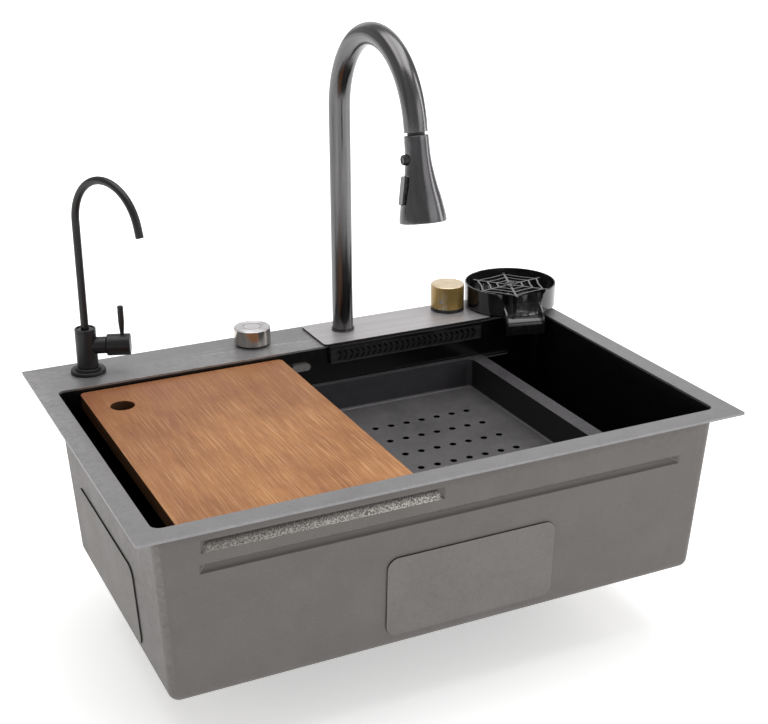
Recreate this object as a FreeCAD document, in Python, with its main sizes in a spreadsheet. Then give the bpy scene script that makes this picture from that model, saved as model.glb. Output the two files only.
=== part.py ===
import FreeCAD, Part
import os
import re
import Sketcher
from FreeCAD import Placement, Rotation, Vector

# Workstation kitchen sink: a drop-in bowl with two pairs of pressed ledges, a waterfall outlet,
# a gooseneck tap with a pull-out spray, a filter tap, two knobs, a cup rinser, a board and a tray.
# Z = 0 is the worktop, under the rim; X runs to the right and Y to the back.

DIMENSIONS = {
    # rim, deck and bowl
    "rim_width": 750, "rim_depth": 520, "rim_thickness": 3, "rim_corner": 2,
    "rim_side": 23.5, "rim_front": 25, "deck_depth": 86,
    "bowl_depth": 217, "wall": 1.5, "wall_taper": 12, "bowl_corner": 12, "floor_round": 12,
    # pressed ledges in the front and rear walls
    "ledge_reach": 8, "ledge_nose": 5, "ledge_round": 2.2, "ledge_overflow_gap": 24,
    "upper_ledge_drop": 21, "upper_ledge_height": 16,
    "upper_ledge_inset": 72, "upper_ledge_front_length": 288,
    "lower_ledge_drop": 49, "lower_ledge_height": 12, "lower_ledge_margin": 140,
    # sound-deadening pads
    "pad_thickness": 2, "pad_round": 14, "pad_drop": 149, "pad_height": 102,
    "front_pad_centre": 22, "front_pad_length": 218,
    "side_pad_centre": -8, "side_pad_length": 232,
    "floor_pad_length": 440, "floor_pad_width": 290, "floor_pad_hole": 66,
    # fits
    "running_gap": 0.05, "fit_gap": 0.2, "seat_gap": 0.3,
    # overflow
    "overflow_inset": 36, "overflow_drop": 21, "overflow_length": 27, "overflow_height": 10,
    "overflow_cover_rise": 4, "overflow_slot_height": 5, "overflow_gasket_thickness": 2,
    "overflow_housing_depth": 26, "overflow_housing_height": 30, "overflow_margin": 5,
    "overflow_outlet_radius": 8, "overflow_spigot_radius": 9, "overflow_spigot_length": 26,
    "hose_bore": 7,
    # waste
    "drain_x": 0, "drain_y": 40, "dish_flange": 57, "dish_thickness": 1.2, "dish_neck": 44,
    "dish_drop": 34, "dish_hole": 6, "dish_hole_circle": 17, "dish_holes": 6,
    "waste_gasket_thickness": 3, "waste_gasket_radius": 56,
    "waste_nut_radius": 55, "waste_nut_height": 9, "waste_lug_length": 4, "waste_lug_width": 10,
    "waste_lugs": 6,
    "waste_cup_height": 8, "waste_funnel_height": 14, "outlet_radius": 23.9, "outlet_bore": 20,
    "outlet_length": 34, "waste_hub": 7, "waste_hub_height": 12, "waste_spoke": 4, "waste_spokes": 3,
    "waste_inlet_length": 70, "waste_boss_radius": 11, "waste_boss_length": 47, "waste_inlet_drop": 12,
    "waste_screw_radius": 3.5, "waste_screw_head": 6.5, "waste_screw_head_height": 2.6,
    "waste_screw_length": 15,
    "strainer_top": 41, "strainer_bottom": 35, "strainer_wall": 1, "strainer_height": 25,
    "strainer_post": 5, "strainer_post_knob": 8, "strainer_floor_hole": 2.4,
    "strainer_floor_circle": 24, "strainer_floor_holes": 8,
    "seal_inner": 27, "seal_outer": 38, "seal_thickness": 3,
    # waterfall outlet
    "waterfall_inset": 6, "waterfall_margin": 24, "waterfall_proud": 7, "waterfall_reach": 27,
    "waterfall_height": 22, "waterfall_wall": 1.5, "inlet_radius": 10.48, "inlet_bore": 8,
    "inlet_length": 28, "inlet_back": 13, "grille_thickness": 2.5, "slot_length": 7, "slot_width": 2.2,
    "slot_slant": 35, "slot_margin": 20, "slot_rise": 3.9, "slots": 25,
    "plate_margin": 103, "plate_length": 259, "plate_overhang": 3, "plate_back": 6, "plate_thickness": 3,
    "plate_corner": 6,
    # main tap
    "tap_inset": 48, "tap_back": 43, "shank_radius": 12, "shank_bore": 7.6, "shank_drop": 62,
    "foot_radius": 15.8, "foot_height": 3, "spigot_radius": 10, "spigot_height": 50,
    "column_radius": 14.3, "column_bore": 12.3, "column_top": 312, "arch_radius": 111,
    "arch_sweep": 169, "end_straight": 10,
    "tap_washer_radius": 16.5, "tap_washer_thickness": 3, "tap_nut_across": 29, "tap_nut_height": 8,
    "liner_bore": 8.6, "liner_radius": 10.5, "liner_proud": 3.5,
    # pull-out spray, measured down its own axis from the end of the column
    "head_wall": 3.5, "head_cap": 13, "head_top_radius": 14.7, "head_neck_length": 20,
    "head_swell_radius": 17.4,
    "head_swell_drop": 46, "head_flare_radius": 23.2, "head_flare_drop": 74,
    "head_bell_radius": 26.8, "head_bell_drop": 92, "head_mouth_radius": 28.5, "head_length": 106,
    "head_edge": 0.8, "head_lip": 2.2, "face_recess": 5, "face_thickness": 4, "nozzle_radius": 0.9,
    "nozzle_circle": 19, "nozzles": 16, "inner_nozzle_circle": 11, "inner_nozzles": 8,
    "connector_radius": 8.3, "connector_height": 7, "connector_spigot": 6.8, "connector_reach": 8,
    "hose_radius": 6.5, "hose_angle": 74,
    "button_radius": 5.5, "button_drop": 31, "button_proud": 4, "button_depth": 7,
    "button_pocket": 9.5, "button_seat_radius": 15.7, "button_round": 1.2,
    "rocker_drop": 67, "rocker_seat": 20.3, "rocker_slope": 11.5, "rocker_length": 34,
    "rocker_width": 11, "rocker_thickness": 3.3, "rocker_lift": 1.7, "rocker_pin": 2,
    "rocker_pin_centre": 1.4, "rocker_round": 1.4, "rocker_margin": 0.6, "rocker_pocket_depth": 12,
    # filter tap
    "filter_inset": 78, "filter_back": 38, "flange_radius": 22.5, "flange_edge": 4, "flange_top_radius": 17,
    "flange_height": 8, "filter_radius": 13.5, "filter_height": 60, "filter_recess": 10.8,
    "filter_recess_depth": 3, "filter_stub_radius": 11, "filter_stub_reach": 26,
    "filter_stub_height": 36, "filter_heading": -20, "valve_radius": 7.9, "valve_depth": 10,
    "spindle_radius": 5, "spindle_length": 17, "hub_radius": 14, "hub_length": 30, "hub_round": 1.2,
    "lever_along": 20, "lever_foot_radius": 2.6, "lever_radius": 3.9, "lever_height": 38,
    "lever_foot_depth": 6, "filter_shank_radius": 6, "filter_shank_drop": 52,
    "filter_shank_depth": 12, "filter_washer_radius": 14, "filter_washer_thickness": 2,
    "filter_nut_across": 19, "filter_nut_height": 6, "collar_thickness": 2,
    "spout_radius": 5, "spout_bore": 3.6, "spout_foot": 20, "spout_top": 204, "spout_bend": 60,
    "spout_sweep": 167, "spout_end": 14, "spout_heading": 24, "spout_tip_length": 4,
    "spout_tip_radius": 4.2,
    # drain knob
    "drain_knob_inset": 83, "drain_knob_back": 35, "drain_knob_radius": 24.8, "drain_knob_height": 23,
    "drain_ring_radius": 21.5, "drain_ring_height": 2, "housing_radius": 12, "housing_drop": 50,
    "housing_flange": 17, "housing_flange_height": 2, "gland_radius": 4, "gland_length": 10,
    "drain_stem_radius": 6, "drain_stem_depth": 44, "drain_stem_reach": 15, "knob_cavity": 19,
    "knob_cavity_height": 6, "knob_edge": 1.2, "knob_dial_radius": 12, "knob_dial_groove": 1,
    "drain_nut_across": 30, "drain_nut_height": 6,
    # mixer knob
    "mixer_inset": 40, "mixer_back": 31, "mixer_radius": 24, "mixer_height": 34, "mixer_ring_radius": 24,
    "mixer_ring_bore": 18.2, "mixer_ring_height": 4.5, "cartridge_radius": 17, "cartridge_flange": 18,
    "cartridge_flange_height": 3, "cartridge_drop": 58, "tail_radius": 4.8, "tail_length": 16,
    "tail_spacing": 16, "mixer_stem_radius": 4, "mixer_stem_depth": 15, "mixer_stem_reach": 20,
    "grub_radius": 2.5, "grub_height": 17, "grub_heading": 220, "grub_sink": 1.2, "grub_socket": 1.3,
    "grub_socket_depth": 2, "mixer_nut_across": 42, "mixer_nut_height": 6,
    # cup rinser
    "rinser_inset": 51, "rinser_back": 52, "rinser_heading": -8, "cup_radius": 66, "cup_wall": 2.5,
    "cup_lift": 3.3, "cup_floor": 2.5, "cup_height": 38, "cup_foot_radius": 30, "cup_edge": 1,
    "lip_width": 50, "lip_cheek": 2.5, "lip_reach": 76, "lip_round": 7, "lip_drop": 30,
    "lip_start": 58, "gap_top_width": 70, "gap_shoulder": 56, "gap_shoulder_height": 20,
    "valve_post_radius": 11, "valve_post_height": 17, "valve_bore": 8.2, "valve_floor": 1.5,
    "plunger_radius": 4.5, "plunger_guide": 8.15, "plunger_guide_height": 7, "plunger_dome": 9,
    "plunger_dome_height": 4, "web_height": 25, "web_thickness": 3, "web_hub": 9, "web_radius": 52,
    "web_spoke": 3.2, "web_strand": 2.2, "inner_strand": 22, "outer_strand": 40,
    "strand_sag": 4, "web_arms": 6, "spring_radius": 6.2, "spring_wire": 0.6, "spring_turns": 5,
    "rinser_shank_radius": 10, "rinser_shank_drop": 50, "rinser_nut_across": 27, "rinser_nut_height": 6,
    # cutting board
    "board_inset": 28.5, "board_clearance": 14.5, "board_thickness": 18, "board_gap": 2.5,
    "board_corner": 7, "board_edge": 1.5, "board_hole": 15, "board_hole_side": 38, "board_hole_back": 62,
    # drain tray
    "tray_left": -75, "tray_width": 331, "tray_gap": 1.2, "tray_flange": 1.2, "tray_end_flange": 20,
    "tray_side_gap": 1.3, "tray_depth": 42, "tray_wall": 1.2, "tray_corner": 12, "tray_flange_corner": 6,
    "tray_hole": 4.5, "tray_pitch": 23.5, "tray_columns": 10, "tray_hole_right": 41.5,
    "tray_row_pitch": 46, "tray_rows": 6, "tray_hole_back": 66,
}

# places that follow the rim, its back edge or the cover plate
PLACES = {
    "upper_ledge_left": "=upper_ledge_inset - rim_width / 2",
    "lower_ledge_length": "=rim_width - lower_ledge_margin",
    "board_left": "=rim_side + board_inset - rim_width / 2",
    "plate_left": "=rim_width / 2 - plate_margin - plate_length",
    "waterfall_left": "=plate_left + waterfall_inset",
    "waterfall_length": "=plate_length - waterfall_margin",
    "slot_pitch": "=(waterfall_length - slot_margin) / slots",
    "overflow_centre": "=plate_left - overflow_inset",
    "board_width": "=overflow_centre - overflow_length / 2 - board_clearance - board_left",
    "upper_ledge_back_length": "=overflow_centre - ledge_overflow_gap - upper_ledge_left",
    "tap_x": "=plate_left + tap_inset", "tap_y": "=rim_depth / 2 - tap_back",
    "mixer_x": "=plate_left + plate_length - mixer_inset", "mixer_y": "=rim_depth / 2 - mixer_back",
    "drain_knob_x": "=plate_left - drain_knob_inset", "drain_knob_y": "=rim_depth / 2 - drain_knob_back",
    "filter_x": "=filter_inset - rim_width / 2", "filter_y": "=rim_depth / 2 - filter_back",
    "rinser_x": "=rim_width / 2 - rinser_inset", "rinser_y": "=rim_depth / 2 - rinser_back",
}

doc = FreeCAD.newDocument("workstation_sink")
sheet = doc.addObject("Spreadsheet::Sheet", "Dims")
for row, (alias, number) in enumerate({**DIMENSIONS, **PLACES}.items(), 1):
    sheet.set(f"A{row}", alias)
    sheet.set(f"B{row}", str(number))
    sheet.setAlias(f"B{row}", alias)
doc.recompute()

WORD = re.compile(r"[a-z]+(?:_[a-z]+)*")
ALIASES = {**DIMENSIONS, **PLACES}
ARC = "middle of an arc"
pieces = []


def ex(text):
    """The text with the sheet's name before each dimension."""
    return WORD.sub(lambda m: "Dims." + m.group() if m.group() in ALIASES else m.group(), str(text))


def value(text):
    """The number that a text of dimensions comes to."""
    number = sheet.evalExpression(ex(text))
    return float(getattr(number, "Value", number))


# ---------- shapes and places bound to the sheet ----------

def bind(thing, **sizes):
    for name, text in sizes.items():
        thing.setExpression(name, ex(text))
    return thing


def move(thing, x=0, y=0, z=0, axis=None, angle=0):
    if axis:
        thing.Placement = Placement(Vector(), Rotation(Vector(*axis), 1))
        thing.setExpression("Placement.Rotation.Angle", ex(angle))
    for letter, text in zip("xyz", (x, y, z)):
        thing.setExpression("Placement.Base." + letter, ex(text))
    return thing


def cylinder(name, radius, height, **where):
    return move(bind(doc.addObject("Part::Cylinder", name), Radius=radius, Height=height), **where)


def box(name, length, width, height, **where):
    thing = doc.addObject("Part::Box", name)
    return move(bind(thing, Length=length, Width=width, Height=height), **where)


def bend(name, radius, thickness, sweep, **where):
    thing = doc.addObject("Part::Torus", name)
    return move(bind(thing, Radius1=radius, Radius2=thickness, Angle3=sweep), **where)


def hexagon(name, across, height, **where):
    thing = doc.addObject("Part::Prism", name)
    return move(bind(thing, Circumradius=f"({across}) / sqrt(3)", Height=height), **where)


def fuse(name, *things):
    thing = doc.addObject("Part::MultiFuse", name)
    thing.Shapes = list(things)
    return thing


def carried(name, thing):
    """Holds one shape so that it can be placed a second time."""
    holder = doc.addObject("Part::Compound", name)
    holder.Links = [thing]
    return holder


def cut(name, base, *tools):
    thing = doc.addObject("Part::Cut", name)
    thing.Base = base
    thing.Tool = tools[0] if len(tools) == 1 else fuse(name + "_tools", *tools)
    return thing


def common(name, *things):
    thing = doc.addObject("Part::MultiCommon", name)
    thing.Shapes = list(things)
    return thing


def rounded_edges(name, base, radius, chosen):
    """Fillets of one radius on the edges that chosen() picks."""
    doc.recompute()
    size = value(radius)
    thing = doc.addObject("Part::Fillet", name)
    thing.Base = base
    thing.Edges = [(i, size, size) for i, edge in enumerate(base.Shape.Edges, 1) if chosen(edge)]
    return thing


def piece(label, thing):
    thing.Label = label
    pieces.append(thing)
    return thing


# ---------- sketches ----------

def pin_point(sketch, geometry, point, across, up):
    for kind, text in (("DistanceX", across), ("DistanceY", up)):
        here = value(text)
        number = sketch.addConstraint(Sketcher.Constraint(kind, -1, 1, geometry, point, here))
        sketch.setExpression(f"Constraints[{number}]", ex(text))


def outline(sketch, points):
    """A closed loop through points; one marked ARC bends the edge between its neighbours."""
    spots = [Vector(value(p[0]), value(p[1]), 0) for p in points]
    corners = [i for i, p in enumerate(points) if len(p) == 2]
    ends = []
    for here, there in zip(corners, corners[1:] + corners[:1]):
        middle = (here + 1) % len(points)
        if middle == there:
            edge = sketch.addGeometry(Part.LineSegment(spots[here], spots[there]), False)
        else:
            arc = Part.Arc(spots[here], spots[middle], spots[there])
            edge = sketch.addGeometry(arc, False)
            mark = sketch.addGeometry(Part.Point(spots[middle]), True)
            pin_point(sketch, mark, 1, *points[middle][:2])
            sketch.addConstraint(Sketcher.Constraint("PointOnObject", mark, 1, edge))
        forward = sketch.getPoint(edge, 1).distanceToPoint(spots[here]) < 1e-6
        first, last = (1, 2) if forward else (2, 1)
        pin_point(sketch, edge, first, *points[here])
        ends.append((edge, first, last))
    for (edge, _, last), (after, first, _) in zip(ends, ends[1:] + ends[:1]):
        sketch.addConstraint(Sketcher.Constraint("Coincident", edge, last, after, first))


def circle(sketch, across, up, radius):
    centre = Vector(value(across), value(up), 0)
    ring = sketch.addGeometry(Part.Circle(centre, Vector(0, 0, 1), value(radius)), False)
    pin_point(sketch, ring, 3, across, up)
    number = sketch.addConstraint(Sketcher.Constraint("Radius", ring, value(radius)))
    sketch.setExpression(f"Constraints[{number}]", ex(radius))


def rounded(left, right, front, back, radius):
    """Loop of a rectangle with round corners."""
    left, right, front, back = (f"({side})" for side in (left, right, front, back))
    inset = f"({radius}) * (1 - sqrt(0.5))"
    far = f"({radius})"
    return [
        (left, f"{front} + {far}"), (f"{left} + {inset}", f"{front} + {inset}", ARC),
        (f"{left} + {far}", front),
        (f"{right} - {far}", front), (f"{right} - {inset}", f"{front} + {inset}", ARC),
        (right, f"{front} + {far}"),
        (right, f"{back} - {far}"), (f"{right} - {inset}", f"{back} - {inset}", ARC),
        (f"{right} - {far}", back),
        (f"{left} + {far}", back), (f"{left} + {inset}", f"{back} - {inset}", ARC),
        (left, f"{back} - {far}"),
    ]


def sketch_in(body, plane, name):
    sketch = body.newObject("Sketcher::SketchObject", name)
    base = next(feature for feature in body.Origin.OriginFeatures if feature.Role == plane)
    sketch.AttachmentSupport = [(base, "")]
    sketch.MapMode = "FlatFace"
    return sketch


def extruded(name, plane, loops, length, rounds=(), reverse=False, centred=False):
    """Body padded from loops of points and round holes on one of its own planes."""
    body = doc.addObject("PartDesign::Body", name)
    sketch = sketch_in(body, plane, name + "_outline")
    for loop in loops:
        outline(sketch, loop)
    for spot in rounds:
        circle(sketch, *spot)
    pad = body.newObject("PartDesign::Pad", name + "_pad")
    pad.Profile = sketch
    pad.Midplane = centred
    pad.Reversed = reverse
    pad.setExpression("Length", ex(length))
    return body


def turned(name, points):
    """Body turned about Z from (radius, height) points."""
    body = doc.addObject("PartDesign::Body", name)
    sketch = sketch_in(body, "XZ_Plane", name + "_outline")
    outline(sketch, points)
    turn = body.newObject("PartDesign::Revolution", name + "_turn")
    turn.Profile = sketch
    turn.ReferenceAxis = (sketch, ["V_Axis"])
    turn.Angle = 360
    return body


def ring(outer, inner, low, high):
    return [(inner, low), (outer, low), (outer, high), (inner, high)]


def feature_pad(body, name, loop, length):
    sketch = sketch_in(body, "XY_Plane", name + "_outline")
    outline(sketch, loop)
    pad = body.newObject("PartDesign::Pad", name)
    pad.Profile = sketch
    pad.setExpression("Length", ex(length))
    return pad


def feature_holes(body, name, plane, spots, reverse=False, loops=()):
    """Round holes or shaped slots cut right through a body from one of its planes."""
    sketch = sketch_in(body, plane, name + "_outline")
    for spot in spots:
        circle(sketch, *spot)
    for loop in loops:
        outline(sketch, loop)
    pocket = body.newObject("PartDesign::Pocket", name)
    pocket.Profile = sketch
    pocket.Type = "ThroughAll"
    pocket.Midplane = True
    pocket.Reversed = reverse
    return pocket


def axis_of(body, role):
    return next(feature for feature in body.Origin.OriginFeatures if feature.Role == role)


def round_pattern(body, features, count, role="Z_Axis"):
    pattern = body.newObject("PartDesign::PolarPattern", features[0].Name + "_round")
    pattern.Originals = features
    pattern.Axis = (axis_of(body, role), [""])
    pattern.Angle = 360
    pattern.setExpression("Occurrences", ex(count))
    body.Tip = pattern
    return pattern


def row_pattern(body, features, role, pitch, count):
    pattern = body.newObject("PartDesign::LinearPattern", features[0].Name + "_row")
    pattern.Originals = features
    pattern.Direction = (axis_of(body, role), [""])
    pattern.setExpression("Length", ex(f"({pitch}) * ({count} - 1)"))
    pattern.setExpression("Occurrences", ex(count))
    body.Tip = pattern
    return pattern


# ---------- faces that several pieces line up with ----------

SIDE = "(rim_width / 2 - rim_side)"
FRONT = "(-rim_depth / 2 + rim_front)"
BACK = "(rim_depth / 2 - deck_depth)"
DECK_EDGE = f"({BACK} - wall)"
LEAN = "atan(wall_taper / bowl_depth)"
FLOOR = "(wall - bowl_depth)"
PLATE_TOP = "(rim_thickness + plate_thickness)"


def lean_at(drop):
    """How far the walls have come in at a depth below the rim."""
    return f"(wall_taper * ({drop}) / bowl_depth)"


# ---------- top panel and bowl ----------

def bowl_block(name, inset, floor, corner):
    """Tapered block with the bowl's plan, so far inside its outer face."""
    sections = []
    for step, drop in (("top", "0"), ("bottom", floor)):
        sketch = doc.addObject("Sketcher::SketchObject", f"{name}_{step}")
        move(sketch, z=f"-({drop})")
        come_in = f"({inset} + {lean_at(drop)})"
        loop = rounded(f"-{SIDE} + {come_in}", f"{SIDE} - {come_in}", f"{FRONT} + {come_in}",
                       f"{BACK} - {come_in}", corner)
        outline(sketch, loop)
        sections.append(sketch)
    block = doc.addObject("Part::Loft", name)
    block.Sections = sections
    block.Solid = True
    block.Ruled = True
    low = -value(floor) + 0.01
    return rounded_edges(name + "_rounded", block, f"floor_round - ({inset})",
                         lambda edge: edge.BoundBox.ZMax < low)


def ledge_bar(name, length, drop, height, inset):
    """Bar with a flat top, a sloping underside and sloping ends that presses one ledge into a wall."""
    slope = f"(({height} - ledge_nose) / ledge_reach)"
    outside, deep = f"({lean_at(drop)} + wall + 5)", f"(ledge_reach - {inset})"
    low = f"({inset} * sqrt(1 + {slope} * {slope}) - ({drop} + {height}))"
    half = f"({length} / 2 - {inset} * sqrt(2))"
    high = f"-({drop}) - {inset}"
    bar = bind(doc.addObject("Part::Wedge", name),
               Xmin=f"-({half} + {outside})", Xmax=f"{half} + {outside}",
               X2min=f"-({half} - {deep})", X2max=f"{half} - {deep}",
               Ymin="0", Ymax=f"{outside} + {deep}", Zmax=high, Z2max=high,
               Zmin=f"{low} - {slope} * {outside}", Z2min=f"{low} + {slope} * {deep}")
    doc.recompute()
    nose = bar.Shape.BoundBox.YMax - 0.01
    return rounded_edges(name + "_nose", bar, f"ledge_round - {inset}",
                         lambda edge: edge.BoundBox.YMin > nose)


def ledge_bars(kind, inset):
    """The four ledges, or with an inset the grooves that keep the wall's thickness behind them."""
    upper, lower = ("upper_ledge_drop", "upper_ledge_height"), ("lower_ledge_drop", "lower_ledge_height")
    bars = []
    for side, place, turn in (("front", f"{FRONT} - 5", 0), ("back", f"{BACK} + 5", 180)):
        reach = f"upper_ledge_{side}_length"
        for level, middle, length, size in (("upper", f"upper_ledge_left + {reach} / 2", reach, upper),
                                            ("lower", "0", "lower_ledge_length", lower)):
            bar = ledge_bar(f"{level}_{side}_{kind}", length, *size, inset)
            bars.append(move(bar, x=middle, y=place, axis=(0, 0, 1), angle=turn))
    return bars


def build_top_panel():
    plan = rounded("-rim_width / 2", "rim_width / 2", "-rim_depth / 2", "rim_depth / 2", "rim_corner")
    opening = rounded(f"-{SIDE} + wall", f"{SIDE} - wall", f"{FRONT} + wall", DECK_EDGE,
                      "bowl_corner - wall")
    holes = [
        ("filter_x", "filter_y", "filter_shank_radius + fit_gap"),
        ("drain_knob_x", "drain_knob_y", "housing_radius + fit_gap"),
        ("tap_x", "tap_y", "shank_radius + fit_gap"),
        ("mixer_x", "mixer_y", "cartridge_radius + fit_gap"),
        ("rinser_x", "rinser_y", "rinser_shank_radius + fit_gap"),
    ]
    piece("top_panel", extruded("top_panel", "XY_Plane", [plan, opening], "rim_thickness", holes))


def build_bowl():
    outside = bowl_block("bowl_outside", "0", "bowl_depth", "bowl_corner")
    inside = bowl_block("bowl_inside", "wall", "bowl_depth - wall", "bowl_corner - wall")
    ledges, grooves = ledge_bars("ledge", "0"), ledge_bars("groove", "wall")
    ridges = common("bowl_ridges", outside, fuse("bowl_ledges", *ledges))
    shell = fuse("bowl_shell", cut("bowl_walls", outside, inside), ridges)
    window = box("waterfall_window", "waterfall_length + 2 * fit_gap", "deck_depth",
                 "waterfall_height + fit_gap", x="waterfall_left - fit_gap",
                 y=f"{DECK_EDGE} - waterfall_proud", z="-waterfall_height - fit_gap")
    slot = box("overflow_slot", "overflow_length - overflow_height", "deck_depth",
               "overflow_slot_height", x="overflow_centre - (overflow_length - overflow_height) / 2",
               y=f"{DECK_EDGE} - waterfall_proud", z="-overflow_drop - overflow_slot_height / 2")
    waste = cylinder("waste_hole", "dish_neck + fit_gap", "20", x="drain_x", y="drain_y",
                     z="-bowl_depth - 10")
    piece("bowl", cut("bowl", shell, *grooves, window, slot, waste))


# ---------- sound-deadening pads ----------

def wall_pad(name, plane, length, reverse):
    half, high = f"({length}) / 2", "pad_height / 2"
    loop = rounded("-" + half, half, "-" + high, high, "pad_round")
    return extruded(name, plane, [loop], "pad_thickness", reverse=reverse)


def build_pads():
    come_in = lean_at("pad_drop")
    front = move(wall_pad("front_pad", "XZ_Plane", "front_pad_length", False),
                 x="front_pad_centre", y=f"{FRONT} + {come_in}", z="-pad_drop",
                 axis=(1, 0, 0), angle=LEAN)
    back = move(wall_pad("back_pad", "XZ_Plane", "front_pad_length", True),
                x="front_pad_centre", y=f"{BACK} - {come_in}", z="-pad_drop",
                axis=(1, 0, 0), angle="-" + LEAN)
    left = move(wall_pad("left_pad", "YZ_Plane", "side_pad_length", True),
                x=f"-{SIDE} + {come_in}", y="side_pad_centre", z="-pad_drop",
                axis=(0, 1, 0), angle="-" + LEAN)
    right = move(wall_pad("right_pad", "YZ_Plane", "side_pad_length", False),
                 x=f"{SIDE} - {come_in}", y="side_pad_centre", z="-pad_drop",
                 axis=(0, 1, 0), angle=LEAN)
    for label, pair in (("front_rear_pads", (front, back)), ("side_pads", (left, right))):
        group = doc.addObject("Part::Compound", label)
        group.Links = pair
        piece(label, group)
    middle = f"({FRONT} + {BACK}) / 2"
    plan = rounded("-floor_pad_length / 2", "floor_pad_length / 2", f"{middle} - floor_pad_width / 2",
                   f"{middle} + floor_pad_width / 2", "pad_round")
    floor = extruded("floor_pad", "XY_Plane", [plan], "pad_thickness",
                     [("drain_x", "drain_y", "floor_pad_hole")])
    piece("floor_pad", move(floor, z="-bowl_depth - pad_thickness"))


# ---------- overflow ----------

def long_round(length, height):
    half, high = f"({length}) / 2", f"({height}) / 2"
    return rounded("-" + half, half, "-" + high, high, f"{high} - 0.01")


def on_back_wall(thing, outward):
    """Stands a piece on the rear wall at the overflow, outward from its outer face."""
    come_in = lean_at("overflow_drop")
    return move(thing, x="overflow_centre", y=f"{BACK} - {come_in} + ({outward}) * cos({LEAN})",
                z=f"-overflow_drop - ({outward}) * sin({LEAN})", axis=(1, 0, 0), angle="-" + LEAN)


def build_overflow():
    slot_length = "overflow_length - overflow_height"
    cover = extruded("cover_blank", "XZ_Plane", [long_round("overflow_length", "overflow_height")],
                     "overflow_cover_rise")
    drop = box("cover_mouth", slot_length, "overflow_cover_rise", "overflow_height",
               x=f"-({slot_length}) / 2", y="-overflow_cover_rise / 2", z="-overflow_height")
    piece("overflow_cover", on_back_wall(cut("overflow_cover", cover, drop), "-wall"))

    wide, high = "overflow_length + 2 * overflow_margin", "overflow_housing_height"
    hole = box("gasket_hole", slot_length, "10", "overflow_slot_height",
               x=f"-({slot_length}) / 2", y="-1", z="-overflow_slot_height / 2")
    plan = rounded(f"-({wide}) / 2", f"({wide}) / 2", f"-({high}) + overflow_drop - 1",
                   "overflow_drop - 1", "overflow_margin")
    gasket = extruded("gasket_blank", "XZ_Plane", [plan], "overflow_gasket_thickness", reverse=True)
    piece("overflow_gasket", on_back_wall(cut("overflow_gasket", gasket, hole), "0"))

    shell = extruded("housing_blank", "XZ_Plane", [plan], "overflow_housing_depth", reverse=True)
    spigot_place = {"y": "overflow_housing_depth / 2",
                    "z": "overflow_drop - overflow_housing_height - overflow_spigot_length"}
    spigot = cylinder("overflow_spigot", "overflow_outlet_radius", "overflow_spigot_length + 2",
                      **spigot_place)
    bore = cylinder("overflow_bore", "overflow_outlet_radius - wall", "overflow_spigot_length + 12",
                    **spigot_place)
    inset = "overflow_margin / 2"
    chamber = box("overflow_chamber", f"{wide} - 2 * {inset}", "overflow_housing_depth - 2 * wall",
                  f"{high} - 2 * {inset}", x=f"-({wide}) / 2 + {inset}", y="-wall",
                  z=f"-({high}) + overflow_drop - 1 + {inset}")
    housing = cut("overflow_housing", fuse("housing_solid", shell, spigot), bore, chamber)
    piece("overflow_housing", on_back_wall(housing, "overflow_gasket_thickness"))


# ---------- waste ----------

def at_drain(thing, z):
    return move(thing, x="drain_x", y="drain_y", z=z)


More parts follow.
